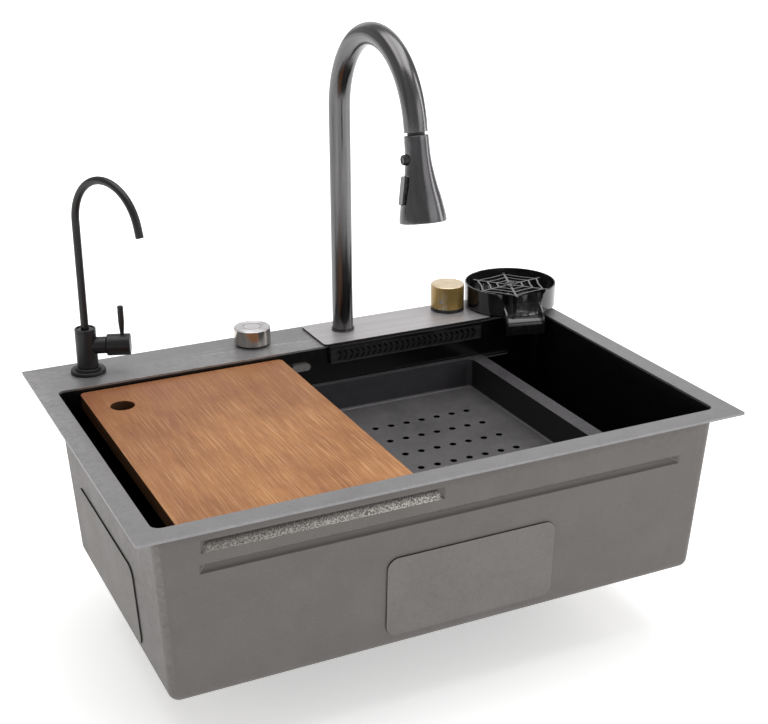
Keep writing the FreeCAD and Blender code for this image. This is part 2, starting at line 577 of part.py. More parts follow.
def build_waste():
    throat = "dish_neck - dish_thickness"
    bottom = "-dish_drop"
    dish = turned("drain_dish", [
        ("waste_screw_radius + 0.1", bottom), ("dish_neck", bottom), ("dish_neck", "0"),
        ("dish_flange", "0"), ("dish_flange", "dish_thickness * 0.6"),
        (f"{throat} + dish_thickness", "dish_thickness"), (throat, "0"),
        (throat, f"{bottom} + dish_thickness"),
        ("waste_screw_radius + 0.1", f"{bottom} + dish_thickness"),
    ])
    drill = feature_holes(dish, "dish_outlet", "XY_Plane", [("dish_hole_circle", "0", "dish_hole")])
    round_pattern(dish, [drill], "dish_holes")
    piece("drain_dish", at_drain(dish, FLOOR))

    gasket = turned("drain_gasket", ring("waste_gasket_radius", "dish_neck + fit_gap",
                                         "-waste_gasket_thickness", "0"))
    piece("drain_gasket", at_drain(gasket, "-bowl_depth"))

    nut = turned("drain_nut", ring("waste_nut_radius", "dish_neck + fit_gap", "-waste_nut_height", "0"))
    sketch = sketch_in(nut, "XY_Plane", "nut_lug_outline")
    outline(sketch, [("waste_nut_radius - 1", "-waste_lug_width / 2"),
                     ("waste_nut_radius + waste_lug_length", "-waste_lug_width / 2"),
                     ("waste_nut_radius + waste_lug_length", "waste_lug_width / 2"),
                     ("waste_nut_radius - 1", "waste_lug_width / 2")])
    lug = nut.newObject("PartDesign::Pad", "nut_lug")
    lug.Profile = sketch
    lug.Reversed = True
    lug.setExpression("Length", ex("waste_nut_height"))
    round_pattern(nut, [lug], "waste_lugs")
    piece("drain_nut", at_drain(nut, "-bowl_depth - waste_gasket_thickness"))

    base = "-(waste_cup_height + waste_funnel_height)"
    cup = turned("waste_cup", [
        ("dish_neck - 3", "0"), ("dish_neck", "0"), ("dish_neck", "-waste_cup_height"),
        ("outlet_radius", base), ("outlet_radius", f"{base} - outlet_length"),
        ("outlet_bore", f"{base} - outlet_length"), ("outlet_bore", f"{base} + 1"),
        ("dish_neck - 3", "-waste_cup_height + 1"),
    ])
    hub = cylinder("waste_hub", "waste_hub", "waste_hub_height", z="-waste_hub_height")
    spokes = []
    for number in range(DIMENSIONS["waste_spokes"]):
        spoke = box(f"waste_spoke_{number}", "dish_neck - 1", "waste_spoke", "waste_hub_height / 2",
                    y="-waste_spoke / 2", z="-waste_hub_height / 2")
        arm = carried(f"waste_arm_{number}", spoke)
        spokes.append(move(arm, axis=(0, 0, 1), angle=f"{number} * 360 / waste_spokes + 30"))
    level = "-waste_inlet_drop"
    boss = cylinder("waste_boss", "waste_boss_radius", "waste_boss_length - dish_neck + 8",
                    y="dish_neck - 8", z=level, axis=(1, 0, 0), angle=-90)
    inlet = cylinder("waste_inlet", "overflow_spigot_radius", "waste_inlet_length - dish_neck",
                     y="dish_neck", z=level, axis=(1, 0, 0), angle=-90)
    bore = cylinder("waste_inlet_bore", "hose_bore", "waste_inlet_length - dish_neck + 16",
                    y="dish_neck - 16", z=level, axis=(1, 0, 0), angle=-90)
    thread = cylinder("waste_thread", "waste_screw_radius + 0.05", "waste_hub_height + 2",
                      z="-waste_hub_height - 1")
    solid = fuse("waste_solid", cup, hub, boss, inlet, *spokes)
    body = cut("drain_body", solid, bore, thread)
    piece("drain_body", at_drain(body, f"{FLOOR} - dish_drop"))

    screw = turned("drain_screw", [
        ("0", "-waste_screw_length"), ("waste_screw_radius", "-waste_screw_length"),
        ("waste_screw_radius", "0"), ("waste_screw_head", "0"),
        ("waste_screw_head", "waste_screw_head_height"), ("0", "waste_screw_head_height"),
    ])
    piece("drain_screw", at_drain(screw, f"{FLOOR} - dish_drop + dish_thickness"))


def build_strainer():
    top = "strainer_height"
    skin = "strainer_wall"
    basket = turned("strainer_basket", [
        ("0", "0"), ("strainer_bottom", "0"), (f"strainer_top - 2", f"{top} - {skin}"),
        ("strainer_top", f"{top} - {skin}"), ("strainer_top", top), (f"strainer_top - 2 - {skin}", top),
        (f"strainer_bottom - {skin}", skin), ("strainer_post", skin),
        ("strainer_post", f"{top} - 8"), ("strainer_post_knob", f"{top} - 5"),
        ("strainer_post_knob", f"{top} - 1"), ("strainer_post", f"{top} + 1"), ("0", f"{top} + 1"),
    ])
    floor_hole = feature_holes(basket, "strainer_floor_cut", "XY_Plane",
                               [("strainer_floor_circle", "0", "strainer_floor_hole")])
    round_pattern(basket, [floor_hole], "strainer_floor_holes")
    seat = f"{FLOOR} - dish_drop + dish_thickness"
    piece("strainer_basket", at_drain(basket, f"{seat} + seal_thickness"))
    seal = turned("strainer_seal", ring("seal_outer", "seal_inner", "0", "seal_thickness"))
    piece("strainer_seal", at_drain(seal, seat))


# ---------- waterfall outlet ----------

def build_waterfall():
    front, back = f"({DECK_EDGE} - waterfall_proud)", f"({DECK_EDGE} + waterfall_reach)"
    step, low = f"({DECK_EDGE} - fit_gap)", "-waterfall_height"
    profile = [(front, low), (back, low), (back, "0"), (step, "0"), (step, "rim_thickness"),
               (front, "rim_thickness")]
    blank = move(extruded("waterfall_blank", "YZ_Plane", [profile], "waterfall_length"),
                 x="waterfall_left")
    skin = "waterfall_wall"
    cavity = box("waterfall_cavity", f"waterfall_length - 2 * {skin}",
                 f"waterfall_proud + waterfall_reach - {skin} + 1", f"waterfall_height - 2 * {skin}",
                 x=f"waterfall_left + {skin}", y=f"{front} - 1", z=f"{low} + {skin}")
    middle, inlet_y = "waterfall_left + waterfall_length / 2", f"{back} - inlet_back"
    inlet = cylinder("waterfall_inlet", "inlet_radius", "inlet_length + 1", x=middle, y=inlet_y,
                     z=f"{low} - inlet_length")
    bore = cylinder("waterfall_bore", "inlet_bore", "inlet_length + 6", x=middle, y=inlet_y,
                    z=f"{low} - inlet_length - 1")
    solid = fuse("waterfall_solid", blank, inlet)
    piece("waterfall_box", cut("waterfall_box", solid, cavity, bore))

    length = f"(waterfall_length - 2 * {skin} - 2 * fit_gap)"
    height = f"(waterfall_height - 2 * {skin} - 2 * fit_gap)"
    grille = extruded("waterfall_grille", "XZ_Plane",
                      [[(f"-{length} / 2", "0"), (f"{length} / 2", "0"), (f"{length} / 2", height),
                        (f"-{length} / 2", height)]], "grille_thickness", reverse=True)
    first = "(-slot_pitch * (slots - 1) / 2)"
    run, rise = "slot_length / 2 * sin(slot_slant)", "slot_length / 2 * cos(slot_slant)"
    thick, drop = "slot_width / 2 * cos(slot_slant)", "slot_width / 2 * sin(slot_slant)"
    slots = []
    for side, level in (("", f"{height} / 2 - slot_rise"), ("-", f"{height} / 2 + slot_rise")):
        def corner(along, across):
            lean = f"({along} * {run} + {across} * {thick})"
            up = f"({along} * {rise} - {across} * {drop})"
            return (f"{first} {'-' if side else '+'} {lean}", f"{level} + {up}")
        slots.append([corner(-1, -1), corner(-1, 1), corner(1, 1), corner(1, -1)])
    cuts = feature_holes(grille, "grille_slots", "XZ_Plane", [], loops=slots)
    row_pattern(grille, [cuts], "X_Axis", "slot_pitch", "slots")
    piece("waterfall_grille", move(grille, x=middle, y=front, z=f"{low} + {skin} + fit_gap"))

    plan = rounded("plate_left", "plate_left + plate_length", f"{DECK_EDGE} - plate_overhang",
                   "rim_depth / 2 - plate_back", "plate_corner")
    holes = [("tap_x", "tap_y", "shank_radius + fit_gap"),
             ("mixer_x", "mixer_y", "cartridge_radius + fit_gap")]
    plate = extruded("waterfall_plate", "XY_Plane", [plan], "plate_thickness", holes)
    piece("waterfall_plate", move(plate, z="rim_thickness"))


# ---------- fasteners under the deck ----------

def deck_nut(label, across, height, hole, x, y, z="0"):
    blank = hexagon(label + "_blank", across, height)
    thread = cylinder(label + "_thread", f"{hole} + fit_gap", f"{height} + 2", z=-1)
    piece(label, move(cut(label, blank, thread), x=x, y=y, z=f"{z} - {height}"))


def deck_washer(label, radius, thickness, hole, x, y):
    washer = turned(label, ring(radius, f"{hole} + fit_gap", f"-{thickness}", "0"))
    piece(label, move(washer, x=x, y=y))


# ---------- main tap ----------

SPRAY_TILT = "(180 - arch_sweep)"
SPRAY_Y = "(tap_y - arch_radius + arch_radius * cos(arch_sweep) - end_straight * sin(arch_sweep))"
SPRAY_Z = "(column_top + arch_radius * sin(arch_sweep) + end_straight * cos(arch_sweep))"


def on_spray(thing):
    """Hangs a piece, modelled along Z, on the end of the column."""
    return move(thing, x="tap_x", y=SPRAY_Y, z=SPRAY_Z, axis=(1, 0, 0), angle=f"-{SPRAY_TILT}")


def neck_of(name, radius, low):
    """Upright, arch and end of the gooseneck, of one radius."""
    upright = cylinder(name + "_upright", radius, f"column_top - ({low})", z=low)
    arch = bend(name + "_arch", "arch_radius", radius, "arch_sweep", y="-arch_radius", z="column_top",
                axis=(1, 1, 1), angle=120)
    end = cylinder(name + "_end", radius, "end_straight", y=f"{SPRAY_Y} - tap_y", z=SPRAY_Z,
                   axis=(1, 0, 0), angle=f"-{SPRAY_TILT}")
    return fuse(name, upright, arch, end)


def build_tap():
    foot_top = f"({PLATE_TOP} + foot_height)"
    shank = turned("tap_shank", [
        ("shank_bore", "-shank_drop"), ("shank_radius", "-shank_drop"), ("shank_radius", PLATE_TOP),
        ("foot_radius", PLATE_TOP), ("foot_radius", foot_top), ("spigot_radius", foot_top),
        ("spigot_radius", f"{foot_top} + spigot_height"), ("shank_bore", f"{foot_top} + spigot_height"),
    ])
    piece("tap_shank", move(shank, x="tap_x", y="tap_y"))
    bush = turned("tap_bush", ring("column_bore - running_gap", "spigot_radius",
                                   foot_top, f"{foot_top} + spigot_height - 4"))
    piece("tap_bush", move(bush, x="tap_x", y="tap_y"))
    column = cut("tap_column", neck_of("neck_outside", "column_radius", foot_top),
                 neck_of("neck_inside", "column_bore", foot_top))
    piece("tap_column", move(column, x="tap_x", y="tap_y"))
    deck_washer("tap_washer", "tap_washer_radius", "tap_washer_thickness", "shank_radius",
                "tap_x", "tap_y")
    deck_nut("tap_nut", "tap_nut_across", "tap_nut_height", "shank_radius", "tap_x", "tap_y",
             "-tap_washer_thickness")
    liner = turned("tap_liner", [
        ("liner_bore", "-liner_proud"), ("liner_radius", "-liner_proud"), ("liner_radius", "0"),
        ("column_bore", "0"), ("column_bore", "end_straight - 1"), ("liner_bore", "end_straight - 1"),
    ])
    piece("tap_liner", on_spray(liner))


def build_spray():
    connector = turned("spray_connector", [
        ("hose_bore - 2", "-liner_proud - connector_reach"),
        ("connector_spigot", "-liner_proud - connector_reach"),
        ("connector_spigot", "-liner_proud"), ("connector_radius", "-liner_proud"),
        ("connector_radius", "connector_height"), ("hose_bore - 2", "connector_height"),
    ])
    piece("spray_connector", on_spray(connector))

    straight = cylinder("hose_straight", "hose_radius", "end_straight - connector_height",
                        z="connector_height")
    curve = bend("hose_curve", "arch_radius", "hose_radius", "hose_angle",
                 y="arch_radius", z="end_straight", axis=(1, -1, -1), angle=120)
    piece("spray_hose", on_spray(fuse("spray_hose", straight, curve)))

    top, mouth = "-liner_proud", "-head_length"
    head = turned("head_blank", [
        ("connector_spigot + fit_gap", top), ("head_top_radius - head_edge", top),
        ("head_top_radius", f"{top} - head_edge"), ("head_top_radius + 0.3", "-head_neck_length"),
        ("head_swell_radius", "-head_swell_drop", ARC), ("head_flare_radius", "-head_flare_drop"),
        ("head_bell_radius", "-head_bell_drop", ARC), ("head_mouth_radius", f"{mouth} + head_edge"),
        ("head_mouth_radius - head_edge", mouth), ("head_mouth_radius - head_lip", mouth),
        ("head_mouth_radius - head_lip", f"{mouth} + face_recess"),
        ("head_bell_radius - head_wall", f"{mouth} + face_recess"),
        ("head_flare_radius - head_wall", "-head_flare_drop"),
        ("head_swell_radius - head_wall", "-head_swell_drop", ARC),
        ("head_top_radius + 0.3 - head_wall", "-head_neck_length"),
        ("head_top_radius + 0.3 - head_wall", "-head_cap"),
        ("connector_spigot + fit_gap", "-head_cap"),
    ])
    button_hole = cylinder("button_hole", "button_radius + seat_gap", "20",
                           x="-button_seat_radius + button_pocket - 20", z="-button_drop",
                           axis=(0, 1, 0), angle=90)
    length, width = "rocker_length + 2 * rocker_margin", "rocker_width + 2 * rocker_margin"
    pocket = box("rocker_pocket", "rocker_pocket_depth", width, length, x="-rocker_pocket_depth",
                 y=f"-({width}) / 2", z=f"-({length}) / 2")
    groove = cylinder("rocker_groove", "rocker_pin + seat_gap", width, x="-rocker_pin_centre",
                      y=f"-({width}) / 2", axis=(1, 0, 0), angle=-90)
    seat = at_rocker(fuse("rocker_seat", pocket, groove))
    piece("spray_head", on_spray(cut("spray_head", head, button_hole, seat)))

    face = turned("face_blank", [
        ("0", "0"), ("head_mouth_radius - head_lip - fit_gap", "0"),
        ("head_mouth_radius - head_lip - fit_gap", "face_thickness"), ("0", "face_thickness"),
    ])
    for name, radius, count in (("outer_nozzle", "nozzle_circle", "nozzles"),
                                ("inner_nozzle", "inner_nozzle_circle", "inner_nozzles")):
        drill = feature_holes(face, name, "XY_Plane", [(radius, "0", "nozzle_radius")])
        round_pattern(face, [drill], count)
    seated = f"{mouth} + face_recess - face_thickness - fit_gap"
    lowered = carried("face_in_head", move(face, z=seated))
    piece("spray_face", on_spray(lowered))

    stem = cylinder("button_stem", "button_radius", "button_depth + button_proud",
                    x="-button_seat_radius - button_proud", z="-button_drop",
                    axis=(0, 1, 0), angle=90)
    doc.recompute()
    tip = stem.Shape.BoundBox.XMin + 0.01
    button = rounded_edges("spray_button", stem, "button_round",
                           lambda edge: edge.BoundBox.XMax < tip)
    piece("spray_button", on_spray(button))

    plate = box("rocker_plate", "rocker_thickness", "rocker_width", "rocker_length",
                x="-rocker_lift - rocker_thickness", y="-rocker_width / 2", z="-rocker_length / 2")
    doc.recompute()
    skin = plate.Shape.BoundBox.XMin + 0.01
    cap = rounded_edges("rocker_cap", plate, "rocker_round", lambda edge: edge.BoundBox.XMax < skin)
    pin = cylinder("rocker_pin", "rocker_pin", "rocker_width", x="-rocker_pin_centre",
                   y="-rocker_width / 2", axis=(1, 0, 0), angle=-90)
    rocker = carried("rocker_outside", at_rocker(fuse("rocker_solid", cap, pin)))
    piece("spray_rocker", on_spray(rocker))


def at_rocker(thing):
    return move(thing, x="-rocker_seat", z="-rocker_drop", axis=(0, 1, 0), angle="rocker_slope")


# ---------- filter tap ----------

def build_filter_tap():
    here = {"x": "filter_x", "y": "filter_y", "z": "rim_thickness"}
    flange = turned("filter_flange", [
        ("filter_radius + fit_gap", "0"), ("flange_radius", "0"), ("flange_radius", "flange_edge"),
        ("flange_radius - 1.5", "flange_edge + 1"), ("flange_top_radius", "flange_edge + 1"),
        ("flange_top_radius", "flange_height - 1"), ("flange_top_radius - 1", "flange_height"),
        ("filter_radius + fit_gap", "flange_height"),
    ])
    piece("filter_flange", move(flange, **here))

    top = "filter_height"
    trunk = turned("filter_trunk", [
        ("filter_shank_radius", "0"), ("filter_radius", "0"), ("filter_radius", f"{top} - 0.8"),
        ("filter_radius - 0.8", top), ("filter_recess", top),
        ("filter_recess", f"{top} - filter_recess_depth"),
        ("spout_radius + running_gap", f"{top} - filter_recess_depth"),
        ("spout_radius + running_gap", f"{top} - spout_foot - 1"), ("0", f"{top} - spout_foot - 1"),
        ("0", "filter_shank_depth"), ("filter_shank_radius", "filter_shank_depth"),
    ])
    level = "filter_stub_height"
    stub = cylinder("filter_stub", "filter_stub_radius", "filter_stub_reach - spout_radius - 2",
                    x="spout_radius + 2", z=level, axis=(0, 1, 0), angle=90)
    pocket = cylinder("filter_stub_bore", "valve_radius + 0.1", "valve_depth + 1",
                      x="filter_stub_reach - valve_depth", z=level, axis=(0, 1, 0), angle=90)
    body = cut("filter_body", fuse("filter_solid", trunk, stub), pocket)
    heading = dict(here, axis=(0, 0, 1), angle="filter_heading")
    piece("filter_body", move(body, **heading))

    face = "filter_stub_reach + seat_gap"
    plug = cylinder("valve_plug", "valve_radius", f"valve_depth + seat_gap / 2",
                    x="filter_stub_reach - valve_depth", z=level, axis=(0, 1, 0), angle=90)
    spindle = cylinder("valve_spindle", "spindle_radius", "spindle_length",
                       x="filter_stub_reach", z=level, axis=(0, 1, 0), angle=90)
    piece("filter_valve", move(fuse("filter_valve", plug, spindle), **heading))

    drum = cylinder("hub_drum", "hub_radius", "hub_length", x=face, z=level, axis=(0, 1, 0), angle=90)
    rounded_drum = rounded_edges("hub_rounded", drum, "hub_round",
                                 lambda edge: edge.Curve.TypeId == "Part::GeomCircle")
    socket = cylinder("hub_bore", "spindle_radius + running_gap", "spindle_length",
                      x="filter_stub_reach", z=level, axis=(0, 1, 0), angle=90)
    lever_x = f"{face} + lever_along"
    drilling = cylinder("hub_drilling", "lever_foot_radius", "lever_foot_depth + 2", x=lever_x,
                        z=f"{level} + hub_radius - lever_foot_depth")
    piece("filter_hub", move(cut("filter_hub", rounded_drum, socket, drilling), **heading))

    foot = "hub_radius - lever_foot_depth"
    lever = turned("lever_pin", [
        ("0", foot), ("lever_foot_radius", foot), ("lever_foot_radius", "hub_radius + 3"),
        ("lever_radius", "hub_radius + lever_height * 0.42"),
        ("lever_radius", "hub_radius + lever_height - 1"),
        ("lever_radius - 1", "hub_radius + lever_height"), ("0", "hub_radius + lever_height"),
    ])
    upright = carried("filter_lever", move(lever, x=lever_x, z=level))
    piece("filter_lever", move(upright, **heading))

    collar_low = f"{top} - filter_recess_depth"
    collar = turned("filter_collar", ring("filter_recess - seat_gap", "spout_radius",
                                          collar_low, f"{collar_low} + collar_thickness"))
    piece("filter_collar", move(collar, **here))

    shank = turned("filter_shank", ring("filter_shank_radius", "filter_shank_radius - 2.5",
                                        "-filter_shank_drop", "rim_thickness + filter_shank_depth"))
    piece("filter_shank", move(shank, x="filter_x", y="filter_y"))
    deck_washer("filter_washer", "filter_washer_radius", "filter_washer_thickness",
                "filter_shank_radius", "filter_x", "filter_y")
    deck_nut("filter_nut", "filter_nut_across", "filter_nut_height", "filter_shank_radius",
             "filter_x", "filter_y", "-filter_washer_thickness")


def spout_tube(name, radius):
    rise = "spout_top - rim_thickness"
    low = "filter_height - spout_foot"
    upright = cylinder(name + "_upright", radius, f"{rise} - ({low})", z=low)
    arch = bend(name + "_arch", "spout_bend", radius, "spout_sweep", y="-spout_bend", z=rise,
                axis=(1, 1, 1), angle=120)
    end_y = "-spout_bend + spout_bend * cos(spout_sweep)"
    end_z = f"{rise} + spout_bend * sin(spout_sweep)"
    end = cylinder(name + "_end", radius, "spout_end",
                   y=f"{end_y} - spout_end * sin(spout_sweep)",
                   z=f"{end_z} + spout_end * cos(spout_sweep)",
                   axis=(1, 0, 0), angle="spout_sweep - 180")
    return fuse(name, upright, arch, end)


def build_filter_spout():
    spout = cut("filter_spout", spout_tube("spout_outside", "spout_radius"),
                spout_tube("spout_inside", "spout_bore"))
    piece("filter_spout", move(spout, x="filter_x", y="filter_y", z="rim_thickness",
                               axis=(0, 0, 1), angle="spout_heading"))


# ---------- knobs ----------

def build_drain_knob():
    here = {"x": "drain_knob_x", "y": "drain_knob_y", "z": "rim_thickness"}
    piece("drain_knob_ring", move(turned("drain_knob_ring", ring(
        "drain_ring_radius", "housing_radius + fit_gap", "0", "drain_ring_height")), **here))
    low = "-housing_drop - rim_thickness"
    flange_top = "(drain_ring_height + housing_flange_height)"
    stem_hole = "drain_stem_radius + running_gap"
    housing = turned("drain_knob_housing", [
        ("0", f"{low} - gland_length"), ("gland_radius", f"{low} - gland_length"),
        ("gland_radius", low), ("housing_radius", low), ("housing_radius", "drain_ring_height"),
        ("housing_flange", "drain_ring_height"), ("housing_flange", flange_top),
        (stem_hole, flange_top), (stem_hole, "-drain_stem_depth"), ("0", "-drain_stem_depth"),
    ])
    piece("drain_knob_housing", move(housing, **here))
    deck_nut("drain_knob_nut", "drain_nut_across", "drain_nut_height", "housing_radius",
             "drain_knob_x", "drain_knob_y")
    base = "(drain_ring_height + seat_gap)"
    top = f"({base} + drain_knob_height)"
    cavity = f"({base} + knob_cavity_height)"
    knob = turned("drain_knob", [
        ("knob_cavity", base), ("drain_knob_radius - knob_edge", base),
        ("drain_knob_radius", f"{base} + knob_edge"), ("drain_knob_radius", f"{top} - knob_edge"),
        ("drain_knob_radius - knob_edge", top), ("knob_dial_radius + knob_dial_groove", top),
        ("knob_dial_radius + knob_dial_groove", f"{top} - knob_dial_groove"),
        ("knob_dial_radius", f"{top} - knob_dial_groove"), ("knob_dial_radius", top), ("0", top),
        ("0", "drain_stem_reach"), ("drain_stem_radius", "drain_stem_reach"),
        ("drain_stem_radius", cavity), ("knob_cavity", cavity),
    ])
    piece("drain_knob", move(knob, **here))
    piece("drain_knob_stem", move(turned("drain_knob_stem", ring(
        "drain_stem_radius", "0", "-drain_stem_depth", "drain_stem_reach")), **here))


def build_mixer():
    here = {"x": "mixer_x", "y": "mixer_y", "z": PLATE_TOP}
    piece("mixer_ring", move(turned("mixer_ring", ring(
        "mixer_ring_radius", "mixer_ring_bore", "0", "mixer_ring_height")), **here))
    low = f"(-cartridge_drop - {PLATE_TOP})"
    cartridge = turned("cartridge_blank", [
        ("0", low), ("cartridge_radius", low), ("cartridge_radius", "0"), ("cartridge_flange", "0"),
        ("cartridge_flange", "cartridge_flange_height"),
        ("mixer_stem_radius + running_gap", "cartridge_flange_height"),
        ("mixer_stem_radius + running_gap", "-mixer_stem_depth"), ("0", "-mixer_stem_depth"),
    ])
    tails = [cylinder(f"mixer_tail_{side}", "tail_radius", "tail_length + 1",
                      x=f"{sign} * tail_spacing / 2", z=f"{low} - tail_length")
             for side, sign in (("cold", 1), ("hot", -1))]
    piece("mixer_cartridge", move(fuse("mixer_cartridge", cartridge, *tails), **here))
    deck_nut("mixer_nut", "mixer_nut_across", "mixer_nut_height", "cartridge_radius",
             "mixer_x", "mixer_y")
    base = "(mixer_ring_height + seat_gap)"
    top, cavity = f"({base} + mixer_height)", f"({base} + knob_cavity_height)"
    knob = turned("mixer_blank", [
        ("knob_cavity", base), ("mixer_radius", base), ("mixer_radius", f"{top} - knob_edge"),
        ("mixer_radius - knob_edge", top), ("0", top), ("0", "mixer_stem_reach"),
        ("mixer_stem_radius", "mixer_stem_reach"), ("mixer_stem_radius", cavity),
        ("knob_cavity", cavity),
    ])
    drilling = cylinder("grub_drilling", "grub_radius", "mixer_radius", z="grub_height",
                        x="mixer_stem_radius - 1", axis=(0, 1, 0), angle=90)
    aimed = move(carried("grub_aimed", drilling), axis=(0, 0, 1), angle="grub_heading")
    piece("mixer_knob", move(cut("mixer_knob", knob, aimed), **here))
    piece("mixer_stem", move(turned("mixer_stem", ring(
        "mixer_stem_radius", "0", "-mixer_stem_depth", "mixer_stem_reach")), **here))
    start = "mixer_stem_radius"
    length = f"mixer_radius - grub_sink - {start}"
    grub = cylinder("grub_blank", "grub_radius", length, x=start, z="grub_height",
                    axis=(0, 1, 0), angle=90)
    socket = hexagon("grub_socket", "2 * grub_socket", "grub_socket_depth + 1", z="grub_height",
                     x="mixer_radius - grub_sink - grub_socket_depth", axis=(0, 1, 0), angle=90)
    stem_side = cylinder("grub_stem_side", "mixer_stem_radius", "grub_height * 2")
    screw = cut("mixer_screw", grub, socket, stem_side)
    piece("mixer_screw", move(screw, axis=(0, 0, 1), angle="grub_heading", **here))


# ---------- cup rinser ----------

def build_rinser():
    here = {"x": "rinser_x", "y": "rinser_y", "z": "rim_thickness", "axis": (0, 0, 1),
            "angle": "rinser_heading"}
    low, floor = "cup_lift", "(cup_lift + cup_floor)"
    bore = "rinser_shank_radius + fit_gap"
    cup = turned("cup_blank", [
        (bore, "0"), ("cup_foot_radius", "0"), ("cup_foot_radius", low),
        ("cup_radius - cup_edge", low), ("cup_radius", f"{low} + cup_edge"),
        ("cup_radius", "cup_height - cup_edge"), ("cup_radius - cup_edge", "cup_height"),
        ("cup_radius - cup_wall", "cup_height"), ("cup_radius - cup_wall", floor), (bore, floor),
    ])
    shoulder, narrow, wide = "gap_shoulder / 2", "lip_width / 2 - lip_cheek", "gap_top_width / 2"
    mid_in, mid_out = "(gap_shoulder / 2 + gap_top_width / 2) / 2", "gap_shoulder_height"
    gap = extruded("cup_gap", "XZ_Plane", [[
        (f"-({narrow})", floor), (narrow, floor), (narrow, f"{mid_out} - 6"),
        (f"{shoulder} - 4", f"{mid_out} + 5", ARC), (mid_in, "cup_height - 6"),
        (wide, "cup_height + 1"), (f"-({wide})", "cup_height + 1"), (f"-({mid_in})", "cup_height - 6"),
        (f"-({shoulder}) + 4", f"{mid_out} + 5", ARC), (f"-({narrow})", f"{mid_out} - 6"),
    ]], "cup_radius + 5")
    reach, skin = "lip_reach", "cup_floor"
    lip = extruded("cup_lip", "YZ_Plane", [[
        ("-lip_start", low), (f"-({reach}) + lip_round", low),
        (f"-({reach}) + {skin} + 1.4", f"{low} - 2.6", ARC), (f"-({reach}) + {skin}", f"{low} - lip_round"),
        (f"-({reach}) + {skin}", "-lip_drop"), (f"-({reach})", "-lip_drop"),
        (f"-({reach})", f"{floor} - lip_round"),
        (f"-({reach}) + lip_round * 0.293", f"{floor} - lip_round * 0.293", ARC),
        (f"-({reach}) + lip_round", floor), ("-lip_start", floor),
    ]], "lip_width", centred=True)
    cheek_loop = [
        ("-lip_start", low), (f"-({reach}) + lip_round", low),
        (f"-({reach}) + {skin}", f"{low} - lip_round"), (f"-({reach}) + {skin}", "-lip_drop"),
        (f"-({reach}) - 2", "-lip_drop"), (f"-({reach}) - 2", f"{floor} - 1"),
        (f"-({reach}) + 4", f"{floor} + 7"), ("-lip_start", "gap_shoulder_height"),
    ]
    cheeks = [move(extruded(f"lip_cheek_{side}", "YZ_Plane", [cheek_loop], "lip_cheek"), x=place)
              for side, place in (("left", "-lip_width / 2"), ("right", "lip_width / 2 - lip_cheek"))]
    bowl = fuse("rinser_bowl", cut("cup_cut", cup, gap), lip, *cheeks)
    piece("rinser_bowl", move(bowl, **here))

    post_top = f"({floor} + valve_post_height)"
    seat = f"({floor} + valve_floor)"
    piece("rinser_valve", move(turned("rinser_valve", [
        ("0", floor), ("valve_post_radius", floor), ("valve_post_radius", f"{post_top} - 1"),
        ("valve_post_radius - 1", post_top), ("valve_bore", post_top), ("valve_bore", seat),
        ("0", seat),
    ]), **here))
    web_low, web_top = "web_height + cup_lift", "(web_height + cup_lift + web_thickness)"
    guide_low = f"({post_top} - 4)"
    piece("rinser_plunger", move(turned("rinser_plunger", [
        ("0", f"{guide_low} - 2"), ("plunger_radius", f"{guide_low} - 2"),
        ("plunger_radius", guide_low), ("plunger_guide", guide_low),
        ("plunger_guide", web_low), ("0", web_low),
    ]), **here))

    web = extruded("web_blank", "XY_Plane", [], "web_thickness", [("0", "0", "web_hub")])
    spoke = feature_pad(web, "web_spoke", [
        ("web_hub - 1", "-web_spoke / 2"), ("web_radius", "-web_spoke / 2"),
        ("web_radius + web_spoke / 2", "0", ARC), ("web_radius", "web_spoke / 2"),
        ("web_hub - 1", "web_spoke / 2"),
    ], "web_thickness")
    strands = []
    for name, radius in (("inner", "inner_strand"), ("outer", "outer_strand")):
        turn = "180 / web_arms"
        middle = f"({radius} * cos({turn}) - strand_sag)"
        far = f"({middle} + web_strand)"
        strands.append(feature_pad(web, f"web_{name}", [
            (radius, "0"), (f"{middle} * cos({turn})", f"{middle} * sin({turn})", ARC),
            (f"{radius} * cos(2 * {turn})", f"{radius} * sin(2 * {turn})"),
            (f"({radius} + web_strand) * cos(2 * {turn})", f"({radius} + web_strand) * sin(2 * {turn})"),
            (f"{far} * cos({turn})", f"{far} * sin({turn})", ARC), (f"{radius} + web_strand", "0"),
        ], "web_thickness * 0.8"))
    round_pattern(web, [spoke] + strands, "web_arms")
    dome = turned("web_dome", [
        ("0", "0"), ("plunger_dome", "0"), ("plunger_dome * 0.72", "plunger_dome_height * 0.72", ARC),
        ("0", "plunger_dome_height"),
    ])
    whole = fuse("rinser_web_solid", move(web, z=web_low), move(dome, z=web_top))
    piece("rinser_web", move(whole, **here))

    low_spring, height = seat, f"({guide_low} - {seat})"
    coil = doc.addObject("Part::Helix", "spring_path")
    bind(coil, Radius="spring_radius", Height=f"{height} - 2 * spring_wire",
         Pitch=f"({height} - 2 * spring_wire) / spring_turns")
    wire = doc.addObject("Part::Circle", "spring_section")
    bind(wire, Radius="spring_wire")
    move(wire, x="spring_radius", axis=(1, 0, 0), angle=90)
    spring = doc.addObject("Part::Sweep", "spring_turns")
    spring.Sections = [wire]
    spring.Spine = (coil, ["Edge1"])
    spring.Solid = True
    spring.Frenet = True
    piece("rinser_spring", move(spring, x="rinser_x", y="rinser_y",
                                z=f"rim_thickness + {low_spring} + spring_wire"))

    shank = turned("rinser_shank", ring("rinser_shank_radius", "hose_bore - 2",
                                        "-rinser_shank_drop - rim_thickness", floor))
    piece("rinser_shank", move(shank, **here))
    deck_nut("rinser_nut", "rinser_nut_across", "rinser_nut_height", "rinser_shank_radius",
             "rinser_x", "rinser_y")


# ---------- board and tray ----------

